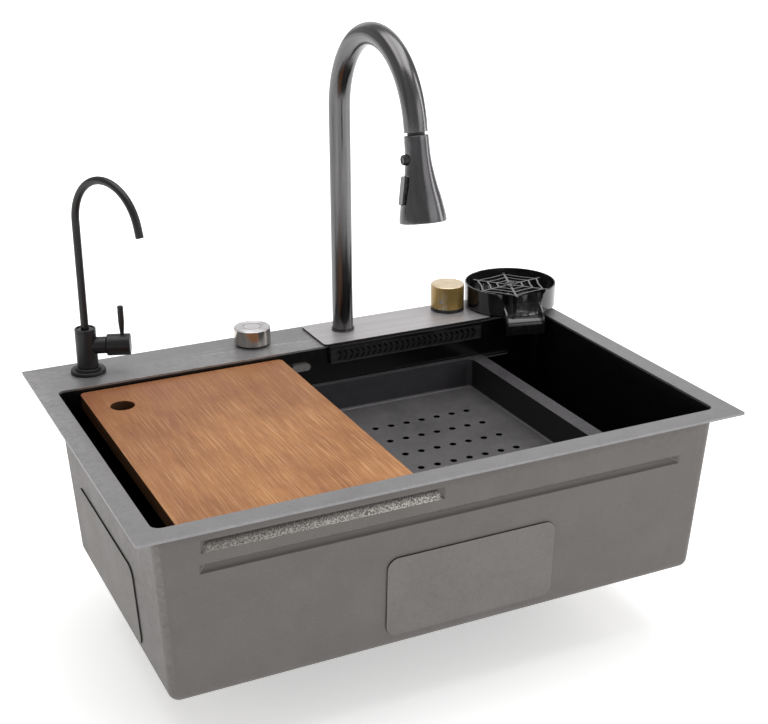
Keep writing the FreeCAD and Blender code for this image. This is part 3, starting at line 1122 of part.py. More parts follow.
def build_board():
    come_in = lean_at("upper_ledge_drop")
    front = f"({FRONT} + wall + {come_in} + board_gap)"
    back = f"({DECK_EDGE} - {come_in} - board_gap)"
    right = "(board_left + board_width)"
    hole = [("board_left + board_hole_side", f"{back} - board_hole_back", "board_hole")]
    slab = extruded("board_slab", "XY_Plane",
                    [rounded("board_left", right, front, back, "board_corner")],
                    "board_thickness", hole)
    doc.recompute()
    top = slab.Shape.BoundBox.ZMax - 0.01
    board = rounded_edges("cutting_board", slab, "board_edge", lambda edge: edge.BoundBox.ZMin > top)
    piece("cutting_board", move(board, z="-upper_ledge_drop"))


def build_tray():
    come_in = lean_at("lower_ledge_drop")
    front = f"({FRONT} + wall + {come_in} + tray_gap)"
    back = f"({DECK_EDGE} - {come_in} - tray_gap)"
    ledge_front = f"({FRONT} + wall + {come_in} + ledge_reach + tray_side_gap)"
    ledge_back = f"({DECK_EDGE} - {come_in} - ledge_reach - tray_side_gap)"
    left, right = "tray_left", "(tray_left + tray_width)"
    body_left, body_right = f"({left} + tray_end_flange)", f"({right} - tray_end_flange)"
    flange = extruded("tray_flange", "XY_Plane",
                      [rounded(left, right, front, back, "tray_flange_corner")], "tray_flange")
    tub = extruded("tray_tub", "XY_Plane",
                   [rounded(body_left, body_right, ledge_front, ledge_back, "tray_corner")],
                   "tray_depth", reverse=True)
    skin = "tray_wall"
    hollow = extruded("tray_hollow", "XY_Plane",
                      [rounded(f"{body_left} + {skin}", f"{body_right} - {skin}",
                               f"{ledge_front} + {skin}", f"{ledge_back} - {skin}",
                               f"tray_corner - {skin}")], "tray_depth + tray_flange")
    move(hollow, z=f"-tray_depth + {skin}")
    drills = doc.addObject("PartDesign::Body", "tray_drills")
    sketch = sketch_in(drills, "XY_Plane", "tray_drill_outline")
    circle(sketch, f"{body_right} - tray_hole_right", f"{ledge_back} - tray_hole_back", "tray_hole")
    drill = drills.newObject("PartDesign::Pad", "tray_drill")
    drill.Profile = sketch
    drill.setExpression("Length", ex("tray_wall + 2"))
    across = row_pattern(drills, [drill], "X_Axis", "tray_pitch", "tray_columns")
    across.Reversed = True
    both = drills.newObject("PartDesign::MultiTransform", "tray_grid")
    both.Originals = [drill]
    down = drills.newObject("PartDesign::LinearPattern", "tray_rows")
    down.Direction = (axis_of(drills, "Y_Axis"), [""])
    down.Reversed = True
    down.setExpression("Length", ex("tray_row_pitch * (tray_rows - 1)"))
    down.setExpression("Occurrences", ex("tray_rows"))
    both.Transformations = [across, down]
    drills.Tip = both
    move(drills, z="-tray_depth - 1")
    tray = cut("drain_tray", fuse("tray_solid", flange, tub), hollow, drills)
    piece("drain_tray", move(tray, z="-lower_ledge_drop"))


# ---------- build, check and write ----------

def build():
    build_top_panel()
    build_bowl()
    build_pads()
    build_overflow()
    build_waste()
    build_strainer()
    build_waterfall()
    build_tap()
    build_spray()
    build_filter_tap()
    build_filter_spout()
    build_drain_knob()
    build_mixer()
    build_rinser()
    build_board()
    build_tray()
    doc.recompute()


def check():
    failed = [thing.Name for thing in doc.Objects
              if "Invalid" in thing.State or "Error" in thing.State]
    if failed:
        raise RuntimeError("failed objects: " + ", ".join(failed))
    for thing in pieces:
        if thing.Shape.isNull() or not thing.Shape.isValid():
            raise RuntimeError("bad shape: " + thing.Label)


def write():
    os.makedirs("parts", exist_ok=True)
    for thing in pieces:
        thing.Shape.exportStep(f"parts/{thing.Label}.step")
        size = thing.Shape.BoundBox
        print(f"{thing.Label:20s} {len(thing.Shape.Solids)} solid(s) {thing.Shape.Volume:10.0f} mm3 "
              f"{size.XLength:6.1f} x {size.YLength:6.1f} x {size.ZLength:6.1f} mm")


build()
check()
write()
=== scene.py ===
import math

import bmesh
import bpy
from mathutils import Matrix, Vector


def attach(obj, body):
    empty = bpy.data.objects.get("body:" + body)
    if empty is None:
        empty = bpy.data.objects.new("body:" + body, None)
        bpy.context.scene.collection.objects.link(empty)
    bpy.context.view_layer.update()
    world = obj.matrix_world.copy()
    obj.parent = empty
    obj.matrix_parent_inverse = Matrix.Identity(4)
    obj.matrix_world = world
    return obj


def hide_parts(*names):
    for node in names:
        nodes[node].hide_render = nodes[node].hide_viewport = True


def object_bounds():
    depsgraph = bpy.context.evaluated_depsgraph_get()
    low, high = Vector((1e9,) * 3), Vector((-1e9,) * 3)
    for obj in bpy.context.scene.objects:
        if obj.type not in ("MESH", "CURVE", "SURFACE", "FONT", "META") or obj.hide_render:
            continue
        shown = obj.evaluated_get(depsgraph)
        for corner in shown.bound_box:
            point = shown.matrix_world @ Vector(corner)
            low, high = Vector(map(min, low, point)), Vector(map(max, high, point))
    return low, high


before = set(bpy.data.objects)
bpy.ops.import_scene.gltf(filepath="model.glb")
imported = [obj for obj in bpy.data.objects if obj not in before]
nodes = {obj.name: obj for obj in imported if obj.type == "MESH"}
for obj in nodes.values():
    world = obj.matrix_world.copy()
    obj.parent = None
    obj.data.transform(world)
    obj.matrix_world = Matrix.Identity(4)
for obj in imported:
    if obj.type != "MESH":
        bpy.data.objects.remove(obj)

# A workstation sink, dressed piece by piece. Sizes in the settings are millimetres.
cadLow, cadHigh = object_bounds()


# picking and editing

def looseEverything():
    if bpy.context.mode != "OBJECT":
        bpy.ops.object.mode_set(mode="OBJECT")
    bpy.ops.object.select_all(action="DESELECT")


def takeUp(piece):
    looseEverything()
    piece.select_set(True)
    bpy.context.view_layer.objects.active = piece
    return piece


def openMesh(piece):
    takeUp(piece)
    bpy.ops.object.mode_set(mode="EDIT")


def closeMesh():
    bpy.ops.object.mode_set(mode="OBJECT")


def choose(kind, test):
    # vertices, edges or faces of the open mesh that pass the test
    bpy.ops.mesh.select_mode(type=kind)
    bpy.ops.mesh.select_all(action="DESELECT")
    mesh = bmesh.from_edit_mesh(bpy.context.edit_object.data)
    for item in {"VERT": mesh.verts, "EDGE": mesh.edges, "FACE": mesh.faces}[kind]:
        if test(item):
            item.select_set(True)
    bmesh.update_edit_mesh(bpy.context.edit_object.data)


def middleOf(item):
    # middle of an edge or face, in millimetres
    spot = sum((corner.co for corner in item.verts), Vector()) / len(item.verts)
    return spot * 1000


def upright(least):
    return lambda edge: abs(edge.verts[0].co.z - edge.verts[1].co.z) * 1000 > least


def lowerThan(level):
    return lambda item: all(corner.co.z * 1000 < level for corner in item.verts)


def pull(x=0, y=0, z=0):
    bpy.ops.mesh.extrude_region_move(TRANSFORM_OT_translate={"value": (x / 1000, y / 1000, z / 1000)})


def shift(x=0, y=0, z=0):
    bpy.ops.transform.translate(value=(x / 1000, y / 1000, z / 1000))


def roundOff(radius, steps=6):
    bpy.ops.mesh.bevel(offset=radius / 1000, segments=steps, clamp_overlap=True)


def chooseAll():
    bpy.ops.mesh.select_all(action="SELECT")


def tidyMesh():
    chooseAll()
    bpy.ops.mesh.remove_doubles(threshold=0.000002)
    bpy.ops.mesh.normals_make_consistent(inside=False)


# starting shapes

def fix(piece):
    takeUp(piece)
    bpy.ops.object.transform_apply(location=True, rotation=True, scale=True)
    return piece


def named(name):
    piece = bpy.context.object
    piece.name = name
    piece.data.name = name
    return piece


def block(name, low, high):
    bpy.ops.mesh.primitive_cube_add(size=1, location=[(a + b) / 2000 for a, b in zip(low, high)])
    piece = named(name)
    piece.scale = [(b - a) / 1000 for a, b in zip(low, high)]
    return fix(piece)


def drum(name, radius, low, high, x=0, y=0, steps=48):
    bpy.ops.mesh.primitive_cylinder_add(vertices=steps, radius=radius / 1000, depth=(high - low) / 1000,
                                        location=(x / 1000, y / 1000, (low + high) / 2000))
    return fix(named(name))


def uprightBlock(name, low, high, corner, steps=8):
    # a block with its four upright edges rounded
    piece = block(name, low, high)
    openMesh(piece)
    choose("EDGE", upright((high[2] - low[2]) / 2))
    roundOff(corner, steps)
    closeMesh()
    return piece


def chain(name, points):
    # one corner pulled along a line of points
    bpy.ops.mesh.primitive_plane_add(size=0.0001, location=[step / 1000 for step in points[0]])
    piece = fix(named(name))
    openMesh(piece)
    bpy.ops.mesh.select_mode(type="VERT")
    chooseAll()
    bpy.ops.mesh.merge(type="CENTER")
    for here, there in zip(points, points[1:]):
        pull(*(b - a for a, b in zip(here, there)))
    return piece


def turned(name, profile, steps=64):
    # (radius, height) points turned about Z
    points = [(across, 0, up) for across, up in profile]
    piece = chain(name, points + points[:1])
    chooseAll()
    bpy.ops.mesh.spin(steps=steps, angle=math.tau, center=(0, 0, 0), axis=(0, 0, 1))
    tidyMesh()
    closeMesh()
    return piece


def cutOut(name, points, pullBy):
    # a flat outline filled and pulled into a solid
    piece = chain(name, points)
    chooseAll()
    bpy.ops.mesh.edge_face_add()
    pull(*pullBy)
    tidyMesh()
    closeMesh()
    return piece


def bentRun(name, radius, foot, straight, bendRadius, sweep, tail, steps=40, rings=48):
    # an upright tube, bent over towards the front, with a straight tail
    x, y, low = foot
    bpy.ops.mesh.primitive_circle_add(vertices=rings, radius=radius / 1000, fill_type="NOTHING",
                                      location=(x / 1000, y / 1000, low / 1000))
    piece = fix(named(name))
    openMesh(piece)
    bpy.ops.mesh.select_mode(type="VERT")
    chooseAll()
    for _ in range(straight["steps"]):
        pull(z=(straight["top"] - low) / straight["steps"])
    turn = math.radians(sweep)
    # with no window a spin turns the other way
    bpy.ops.mesh.spin(steps=steps, angle=-turn, axis=(1, 0, 0),
                      center=(x / 1000, (y - bendRadius) / 1000, straight["top"] / 1000))
    pull(y=-math.sin(turn) * tail, z=math.cos(turn) * tail)
    tidyMesh()
    closeMesh()
    return piece


def moved(piece, x=0, y=0, z=0, tilt=0, lean=0, turn=0):
    piece.rotation_euler = [math.radians(angle) for angle in (tilt, lean, turn)]
    piece.location = (x / 1000, y / 1000, z / 1000)
    return fix(piece)


# joining and finishing

def finishWith(piece, kind, **settings):
    takeUp(piece)
    bpy.ops.object.modifier_add(type=kind)
    step = piece.modifiers[-1]
    for setting, amount in settings.items():
        setattr(step, setting, amount)
    bpy.ops.object.modifier_apply(modifier=step.name)
    return piece


def thicken(piece, wall, **settings):
    return finishWith(piece, "SOLIDIFY", thickness=wall / 1000, offset=-1, use_even_offset=True, **settings)


def combine(piece, way, others):
    for other in others:
        finishWith(piece, "BOOLEAN", operation=way, solver="EXACT", object=other)
        bpy.data.objects.remove(other)
    return piece


def carve(piece, *tools):
    return combine(piece, "DIFFERENCE", tools)


def weld(piece, *others):
    return combine(piece, "UNION", others)


def gather(name, parts):
    # several loose parts as one object
    looseEverything()
    for part in parts:
        part.select_set(True)
    bpy.context.view_layer.objects.active = parts[0]
    bpy.ops.object.join()
    return named(name)


def soften(piece, width, steps=2, angle=32):
    finishWith(piece, "BEVEL", width=width / 1000, segments=steps, limit_method="ANGLE",
               angle_limit=math.radians(angle))
    return smooth(piece, angle)


def smooth(piece, angle=32):
    takeUp(piece)
    bpy.ops.object.shade_smooth_by_angle(angle=math.radians(angle))
    return finishWith(piece, "WEIGHTED_NORMAL", keep_sharp=True, weight=60)


def paint(piece, material, test=None):
    # the whole piece, or the faces that pass the test
    held = piece.data.materials
    if material.name not in held:
        held.append(material)
    number = held.find(material.name)
    for face in piece.data.polygons:
        if test is None or test(face.center * 1000, face.normal):
            face.material_index = number
    return piece


def settle(piece, body, slot, *stands):
    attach(piece, body)
    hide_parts(*stands)
    return piece


# shader helpers

def tone(code):
    # a screen colour as light
    parts = [int(code[i:i + 2], 16) / 255 for i in (1, 3, 5)]
    return [part / 12.92 if part <= 0.04045 else ((part + 0.055) / 1.055) ** 2.4 for part in parts] + [1]


def feed(tree, item, inputs):
    # links a socket, or sets a value; a text is a screen colour
    for socket, source in inputs.items():
        if isinstance(source, bpy.types.NodeSocket):
            tree.links.new(source, item.inputs[socket])
        else:
            item.inputs[socket].default_value = tone(source) if isinstance(source, str) else source
    return item.outputs


def add(tree, kind, inputs=None, **settings):
    item = tree.nodes.new("ShaderNode" + kind)
    for setting, amount in settings.items():
        setattr(item, setting, amount)
    return feed(tree, item, inputs or {})


def noise(tree, vector, scale, detail=3, roughness=0.5):
    return add(tree, "TexNoise", {"Vector": vector, "Scale": scale, "Detail": detail,
                                  "Roughness": roughness})[0]


def rescale(tree, source, low, high, toLow=0, toHigh=1):
    return add(tree, "MapRange", {0: source, 1: low, 2: high, 3: toLow, 4: toHigh})[0]


def maths(tree, operation, first, second):
    return add(tree, "Math", {0: first, 1: second}, operation=operation)[0]


def times(tree, first, second):
    return maths(tree, "MULTIPLY", first, second)


def stretched(tree, vector, scale):
    return add(tree, "Mapping", {"Vector": vector, "Scale": scale})[0]


def lookUp(tree):
    # how far the surface faces up
    return add(tree, "SeparateXYZ", {0: add(tree, "NewGeometry")["Normal"]})[2]


def blendColours(tree, share, first, second):
    return add(tree, "Mix", {0: share, 6: first, 7: second}, data_type="RGBA")[2]


def newGroup(name, takes, gives):
    # every group takes a vector first
    tree = bpy.data.node_groups.new(name, "ShaderNodeTree")
    for label, kind, start in [("Vector", "Vector", None)] + takes:
        socket = tree.interface.new_socket(label, in_out="INPUT", socket_type="NodeSocket" + kind)
        if start is not None:
            socket.default_value = start
    for label, kind in gives:
        tree.interface.new_socket(label, in_out="OUTPUT", socket_type="NodeSocket" + kind)
    return tree, tree.nodes.new("NodeGroupInput").outputs, tree.nodes.new("NodeGroupOutput").inputs


def use(tree, group, place, **inputs):
    item = tree.nodes.new("ShaderNodeGroup")
    item.node_tree = bpy.data.node_groups[group]
    return feed(tree, item, {"Vector": place, **inputs})


def makeGroups():
    # fine grain of a sprayed coat
    tree, given, out = newGroup("sprayGrain", [("Scale", "Float", 600)],
                                [("Mask", "Float"), ("Height", "Float")])
    fine = noise(tree, given["Vector"], given["Scale"], 2)
    coarse = noise(tree, given["Vector"], times(tree, given["Scale"], 0.04), 3)
    tree.links.new(maths(tree, "MULTIPLY_ADD", fine, 0.6), out["Height"])
    both = maths(tree, "ADD", times(tree, fine, 0.6), times(tree, coarse, 0.4))
    tree.links.new(rescale(tree, both, 0.3, 0.7), out["Mask"])

    # drawn-out scratches of a brushed finish; the vector is long along the brushing
    tree, given, out = newGroup("brushLines", [("Scale", "Float", 900)],
                                [("Mask", "Float"), ("Height", "Float")])
    fine = noise(tree, given["Vector"], given["Scale"], 3, 0.7)
    broad = noise(tree, given["Vector"], times(tree, given["Scale"], 0.17), 2)
    tree.links.new(fine, out["Height"])
    both = maths(tree, "ADD", times(tree, fine, 0.5), times(tree, broad, 0.5))
    tree.links.new(rescale(tree, both, 0.32, 0.68), out["Mask"])

    # rubbed edges
    tree, given, out = newGroup("edgeWear", [("Start", "Float", 0.52),
                                             ("Full", "Float", 0.62)], [("Mask", "Float")])
    bend = add(tree, "NewGeometry")["Pointiness"]
    rough = noise(tree, given["Vector"], 160, 4, 0.65)
    rubbed = rescale(tree, bend, given["Start"], given["Full"])
    tree.links.new(times(tree, rubbed, rescale(tree, rough, 0.35, 0.6)), out["Mask"])

    # wiped marks that change the gloss
    tree, given, out = newGroup("wipeMarks", [("Low", "Float", 0.2),
                                              ("High", "Float", 0.35)], [("Roughness", "Float")])
    cloud = noise(tree, given["Vector"], 14, 4, 0.6)
    streak = noise(tree, given["Vector"], 60, 3, 0.5)
    both = maths(tree, "ADD", times(tree, cloud, 0.7), times(tree, streak, 0.3))
    tree.links.new(rescale(tree, both, 0.35, 0.65, given["Low"], given["High"]), out["Roughness"])

    # a trace of dust on faces that look up
    tree, given, out = newGroup("dustFall", [("Amount", "Float", 0.1)],
                                [("Mask", "Float")])
    upward = lookUp(tree)
    specks = rescale(tree, noise(tree, given["Vector"], 240, 4, 0.7), 0.45, 0.75)
    facing = times(tree, rescale(tree, upward, 0.4, 1), specks)
    tree.links.new(times(tree, facing, given["Amount"]), out["Mask"])

    # long grain, pores and broad colour of planed wood; the grain runs along Y
    tree, given, out = newGroup("woodGrain", [("Dark", "Color", None),
                                              ("Middle", "Color", None), ("Light", "Color", None)],
                                [("Color", "Color"), ("Height", "Float"), ("Gloss", "Float")])
    long = stretched(tree, given["Vector"], (1, 0.06, 0.5))
    wander = noise(tree, stretched(tree, given["Vector"], (1, 0.35, 1)), 6, 2)
    aside = add(tree, "CombineXYZ", {0: times(tree, wander, 0.035)})[0]
    bent = add(tree, "VectorMath", {0: long, 1: aside}, operation="ADD")[0]
    rings = rescale(tree, noise(tree, bent, 55, 5, 0.62), 0.32, 0.68)
    fibre = rescale(tree, noise(tree, bent, 520, 3, 0.6), 0.32, 0.68)
    straight = stretched(tree, given["Vector"], (1, 0.02, 0.5))
    pale = rescale(tree, noise(tree, straight, 640, 2, 0.5), 0.52, 0.66)
    poreMap = stretched(tree, given["Vector"], (1, 0.09, 0.5))
    pores = rescale(tree, noise(tree, poreMap, 900, 2, 0.5), 0.62, 0.7)
    patch = rescale(tree, noise(tree, given["Vector"], 9, 4, 0.6), 0.4, 0.62)
    body = blendColours(tree, rings, given["Middle"], given["Light"])
    body = blendColours(tree, times(tree, patch, 0.45), body, given["Dark"])
    body = blendColours(tree, times(tree, fibre, 0.42), body, given["Dark"])
    body = blendColours(tree, times(tree, pores, 0.4), body, given["Dark"])
    body = blendColours(tree, times(tree, pale, 0.34), body, "#dcae80")
    tree.links.new(body, out["Color"])
    tree.links.new(maths(tree, "SUBTRACT", fibre, pores), out["Height"])
    tree.links.new(rescale(tree, rings, 0, 1, 0.42, 0.55), out["Gloss"])


def startMaterial(name, metallic=0, specular=0.5, coat=0, coatRoughness=0.08):
    material = bpy.data.materials.new(name)
    material.use_nodes = True
    tree = material.node_tree
    shader = tree.nodes["Principled BSDF"]
    shader.inputs["Metallic"].default_value = metallic
    shader.inputs["Specular IOR Level"].default_value = specular
    shader.inputs["Coat Weight"].default_value = coat
    shader.inputs["Coat Roughness"].default_value = coatRoughness
    return material, tree, shader, add(tree, "TexCoord")["Object"]


def emboss(tree, shader, height, strength, distance):
    bump = add(tree, "Bump", {"Height": height, "Strength": strength, "Distance": distance})[0]
    tree.links.new(bump, shader.inputs["Normal"])


def rubEdges(tree, place, colour, share, worn):
    wear = use(tree, "edgeWear", place)["Mask"]
    return blendColours(tree, times(tree, wear, share), colour, worn)


def finishCoat(tree, shader, place, colour, gloss, height, relief, deep, more=0):
    # gloss is the roughness where it is wiped most and least
    tree.links.new(colour, shader.inputs["Base Color"])
    marks = use(tree, "wipeMarks", place, Low=gloss[0], High=gloss[1])["Roughness"]
    tree.links.new(maths(tree, "ADD", marks, more), shader.inputs["Roughness"])
    emboss(tree, shader, height, relief, deep)


def sprayedMetal(name, dark, light, worn, gloss, metallic, scale=700, relief=0.2, after=None):
    # matt sprayed or vapour-coated steel
    material, tree, shader, place = startMaterial(name, metallic)
    grain = use(tree, "sprayGrain", place, Scale=scale)
    colour = rubEdges(tree, place, blendColours(tree, grain["Mask"], dark, light), 0.5, worn)
    dust = use(tree, "dustFall", place, Amount=0.06)["Mask"]
    colour = blendColours(tree, dust, colour, "#c9c6c0")
    if after:
        colour = after(tree, place, colour)
    finishCoat(tree, shader, place, colour, gloss, grain["Height"], relief, 0.0003)
    return material


def brushedMetal(name, dark, light, gloss, stretch, metallic=1, scale=900, relief=0.12, attribute=None):
    # brushed metal; stretch is small along the brushing
    material, tree, shader, place = startMaterial(name, metallic)
    if attribute:
        place = add(tree, "Attribute", attribute_name=attribute)["Vector"]
    lines = use(tree, "brushLines", stretched(tree, place, stretch), Scale=scale)
    colour = rubEdges(tree, place, blendColours(tree, lines["Mask"], dark, light), 0.35, "#d8d6d2")
    finishCoat(tree, shader, place, colour, gloss, lines["Height"], relief, 0.0001,
               times(tree, lines["Mask"], 0.06))
    return material


def glossCoat(name, dark, light, gloss, coat=0.6, scale=300, relief=0.05, specular=0.5, rub=0.15):
    # smooth lacquer or moulded gloss
    material, tree, shader, place = startMaterial(name, 0, specular, coat)
    grain = use(tree, "sprayGrain", place, Scale=scale)
    colour = rubEdges(tree, place, blendColours(tree, grain["Mask"], dark, light), rub, "#6a6a6c")
    dust = use(tree, "dustFall", place, Amount=0.05)["Mask"]
    colour = blendColours(tree, times(tree, dust, rub), colour, "#a8a6a2")
    finishCoat(tree, shader, place, colour, gloss, grain["Height"], relief, 0.0002)
    return material


def planedWood(name, dark, middle, light):
    material, tree, shader, place = startMaterial(name, specular=0.3, coat=0.04, coatRoughness=0.35)
    grain = use(tree, "woodGrain", place, Dark=dark, Middle=middle, Light=light)
    colour = rubEdges(tree, place, grain["Color"], 0.4, "#d9a878")
    # painted shade: darker and redder towards the rear and the left end
    spot = add(tree, "SeparateXYZ", {0: place})
    rear = rescale(tree, spot[1], -0.06, 0.17, 0, 0.5)
    left = rescale(tree, spot[0], -0.2, -0.33, 0, 0.25)
    colour = blendColours(tree, maths(tree, "ADD", rear, left), colour, "#74432b")
    # painted shade: darker on the cut sides that don't face up
    upward = lookUp(tree)
    colour = blendColours(tree, rescale(tree, upward, 0.5, 0.1, 0, 0.8), colour, "#1d120c")
    tree.links.new(colour, shader.inputs["Base Color"])
    tree.links.new(grain["Gloss"], shader.inputs["Roughness"])
    emboss(tree, shader, grain["Height"], 0.25, 0.0002)
    return material


def ledgeLight(tree, place, colour):
    # painted light: bright grains on the slope of the upper front ledge; painted shade on the lower one
    spot = add(tree, "SeparateXYZ", {0: place})
    upward = lookUp(tree)
    slope = times(tree, rescale(tree, upward, 0.2, 0.35), rescale(tree, spot[1], -0.2, -0.21))
    upper = times(tree, slope, rescale(tree, spot[2], -0.0385, -0.0375))
    lower = times(tree, slope, rescale(tree, spot[2], -0.045, -0.046))
    grains = rescale(tree, noise(tree, place, 560, 2, 0.6), 0.4, 0.62)
    toRight = rescale(tree, spot[0], -0.3, -0.04, 0.4, 1)
    lit = blendColours(tree, times(tree, grains, toRight), "#6d6865", "#e6e3dc")
    # painted shade near the top of the upper slope and at its rounded ends
    lit = blendColours(tree, rescale(tree, spot[2], -0.0325, -0.028, 0, 0.85), lit, "#3a3634")
    ends = times(tree, rescale(tree, spot[0], -0.2995, -0.2945),
                 rescale(tree, spot[0], -0.0195, -0.0245))
    lit = blendColours(tree, ends, "#4a4643", lit)
    colour = blendColours(tree, upper, colour, lit)
    dull = blendColours(tree, rescale(tree, spot[2], -0.0605, -0.0545), "#4a4643", "#9a9692")
    colour = blendColours(tree, lower, colour, dull)
    # a soft painted shade under the rim
    return blendColours(tree, rescale(tree, spot[2], -0.024, -0.004, 0, 0.45), colour, "#2c2927")


print("groups and materials")
makeGroups()
wallGrey = sprayedMetal("wallGrey", "#5d5957", "#6c6866", "#8d8a86", (0.48, 0.6), 0.3, after=ledgeLight)
rimGrey = sprayedMetal("rimGrey", "#7d7c7e", "#8c8b8d", "#b9b7b5", (0.36, 0.46), 0.6, 900, 0.1)
insideBlack = glossCoat("insideBlack", "#060607", "#0b0b0c", (0.2, 0.25), 0.1, specular=0.35, rub=0.03)
trayGrey = sprayedMetal("trayGrey", "#38363a", "#464448", "#7d7b78", (0.4, 0.52), 0.5)
# painted light and shade: a lighter copy of the tray's grey for its floor, a darker one for its walls
litTrayFloor = sprayedMetal("litTrayFloor", "#4b4a4b", "#5f5d5e", "#7d7b78", (0.42, 0.54), 0.4)
shadedTrayWall = sprayedMetal("shadedTrayWall", "#151415", "#1f1d1e", "#4d4b4c", (0.45, 0.58), 0.3)
padGrey = sprayedMetal("padGrey", "#65615f", "#74706d", "#85827e", (0.5, 0.62), 0.3)
padEdge = glossCoat("padEdge", "#0f0f10", "#1b1b1c", (0.6, 0.75), 0, 500, 0.2)
brushedGun = brushedMetal("brushedGun", "#4f4e4f", "#737273", (0.16, 0.22), (1, 1, 0.02), relief=0.05,
                          attribute="alongTube")
spunGun = brushedMetal("spunGun", "#535254", "#646365", (0.17, 0.22), (1, 1, 0.02), relief=0.03,
                       attribute="alongTube")
blackMetal = glossCoat("blackMetal", "#0d0d10", "#161619", (0.34, 0.46), 0.05, 700, 0.15, specular=0.35)
blackGloss = glossCoat("blackGloss", "#0e0d0f", "#171618", (0.12, 0.2), 0.4, specular=0.5, rub=0.04)
mattBlack = glossCoat("mattBlack", "#101011", "#1c1c1d", (0.5, 0.65), 0, 600, 0.2)
plateSteel = brushedMetal("plateSteel", "#a9a6a9", "#c4c1c4", (0.34, 0.42), (0.02, 1, 1), 0.6)
silverSide = brushedMetal("silverSide", "#98928d", "#c6c1bb", (0.12, 0.18), (1, 1, 0.03), relief=0.05)
silverTop = brushedMetal("silverTop", "#b4b2b4", "#d2d0d2", (0.22, 0.3), (1, 1, 1), 0.7, scale=500)
goldSide = brushedMetal("goldSide", "#8a6f3a", "#aa8e52", (0.24, 0.34), (1, 1, 0.03), 0.5)
goldTop = brushedMetal("goldTop", "#cdb794", "#e3d2b6", (0.26, 0.36), (1, 1, 1), 0.6, scale=500)
steel = brushedMetal("steel", "#9b9a99", "#c9c8c6", (0.22, 0.34), (1, 1, 0.06))
brass = brushedMetal("brass", "#a48242", "#c9a765", (0.3, 0.42), (1, 1, 0.1))
greyPlastic = glossCoat("greyPlastic", "#5d5e60", "#6d6e70", (0.42, 0.55), 0, 500, 0.2)
whitePlastic = glossCoat("whitePlastic", "#c7c6c2", "#dad9d5", (0.4, 0.52), 0, 500, 0.15)
rubber = glossCoat("rubber", "#141414", "#222222", (0.65, 0.8), 0, 600, 0.25)
coverSilver = brushedMetal("coverSilver", "#c6c4c2", "#ebe9e6", (0.16, 0.24), (0.03, 1, 1))
darkGun = brushedMetal("darkGun", "#2e2d2d", "#474544", (0.3, 0.42), (1, 1, 0.04))
rockerGrey = sprayedMetal("rockerGrey", "#7c7a7c", "#8c8a8c", "#b5b3b2", (0.32, 0.42), 0.7, 900, 0.08)
oiledWood = planedWood("oiledWood", "#74401f", "#a36c3d", "#bd8752")


print("camera and stage")
cameraSettings = {"place": (-674.06, -1448.97, 660.07), "azimuth": -25.6016, "elevation": 21.1417,
                  "roll": -0.2922, "lens": 65.04}
bpy.ops.object.camera_add()
camera = bpy.context.object
camera.name = "mainCamera"
camera.data.lens = cameraSettings["lens"]
camera.data.sensor_width = 36
camera.data.clip_end = 100
camera.matrix_world = (
    Matrix.Translation([step / 1000 for step in cameraSettings["place"]])
    @ Matrix.Rotation(math.radians(cameraSettings["azimuth"]), 4, "Z")
    @ Matrix.Rotation(math.radians(90 - cameraSettings["elevation"]), 4, "X")
    @ Matrix.Rotation(math.radians(cameraSettings["roll"]), 4, "Z"))
bpy.context.scene.camera = camera

floorSettings = {"size": 60, "gap": 1, "glow": 0.9}
bpy.ops.mesh.primitive_plane_add(size=floorSettings["size"],
                                 location=(0, 0, cadLow[2] - floorSettings["gap"] / 1000))
floor = fix(named("studioFloor"))
floorPaint, tree, shader, place = startMaterial("floorPaint", specular=0.1)
speckle = noise(tree, place, 3, 4)
tree.links.new(blendColours(tree, rescale(tree, speckle, 0.3, 0.7), "#f2f2f2", "#f7f7f7"),
               shader.inputs["Base Color"])
shader.inputs["Roughness"].default_value = 0.9
away = add(tree, "VectorMath", {0: place}, operation="LENGTH")[1]
tree.links.new(blendColours(tree, rescale(tree, away, 0.9, 2.6), "#b8b8b8", "#ffffff"),
               shader.inputs["Emission Color"])
shader.inputs["Emission Strength"].default_value = floorSettings["glow"]
paint(floor, floorPaint)


def softbox(name, place, aim, size, power):
    bpy.ops.object.light_add(type="AREA", location=place)
    light = bpy.context.object
    light.name = name
    light.data.shape = "RECTANGLE"
    light.data.size, light.data.size_y = size
    light.data.energy = power
    light.visible_camera = False
    light.rotation_euler = (Vector(aim) - Vector(place)).to_track_quat("-Z", "Y").to_euler()


softbox("overhead", (0.1, 0.3, 2.6), (0, 0, 0), (3.2, 2.4), 63)
softbox("leftBank", (-2.6, 1.1, 1.1), (0, 0, 0.1), (1.2, 2.2), 0.6)
softbox("rightBank", (2.8, -0.7, 1.2), (0, 0, 0.2), (0.7, 2.4), 24)
softbox("frontFill", (1.8, -2.8, 1.4), (0, 0, 0), (2.6, 1.6), 18)
softbox("backBank", (1.4, 3.2, 1.5), (0, 0, 0), (3.6, 1.3), 9)

world = bpy.data.worlds.new("studioAir")
world.use_nodes = True
air = world.node_tree.nodes["Background"].inputs
air["Color"].default_value = (0.92, 0.91, 0.9, 1)
air["Strength"].default_value = 0.5
bpy.context.scene.world = world
bpy.context.scene.view_settings.view_transform = "Standard"


print("rim and deck")
panelSettings = {
    "left": -375, "right": 375, "front": -260, "back": 260, "thickness": 3, "corner": 2,
    "opening": (-350, 350, -233.5, 172.5), "openingCorner": 10.5, "edge": 0.8,
    "holes": ((-297, 222, 6.2), (-70, 225, 12.2), (61, 217, 12.2), (232, 229, 17.2), (324, 208, 10.2)),
}


def makePanel(s):
    panel = uprightBlock("panel", (s["left"], s["front"], 0), (s["right"], s["back"], s["thickness"]),
                         s["corner"], 4)
    left, right, front, back = s["opening"]
    carve(panel, uprightBlock("opening", (left, front, -5), (right, back, 9), s["openingCorner"], 10))
    for x, y, radius in s["holes"]:
        carve(panel, drum("hole", radius, -5, 9, x, y, 40))
    soften(panel, s["edge"], 3, 40)
    paint(panel, rimGrey)
    return settle(panel, "sink", "rim", "top_panel")


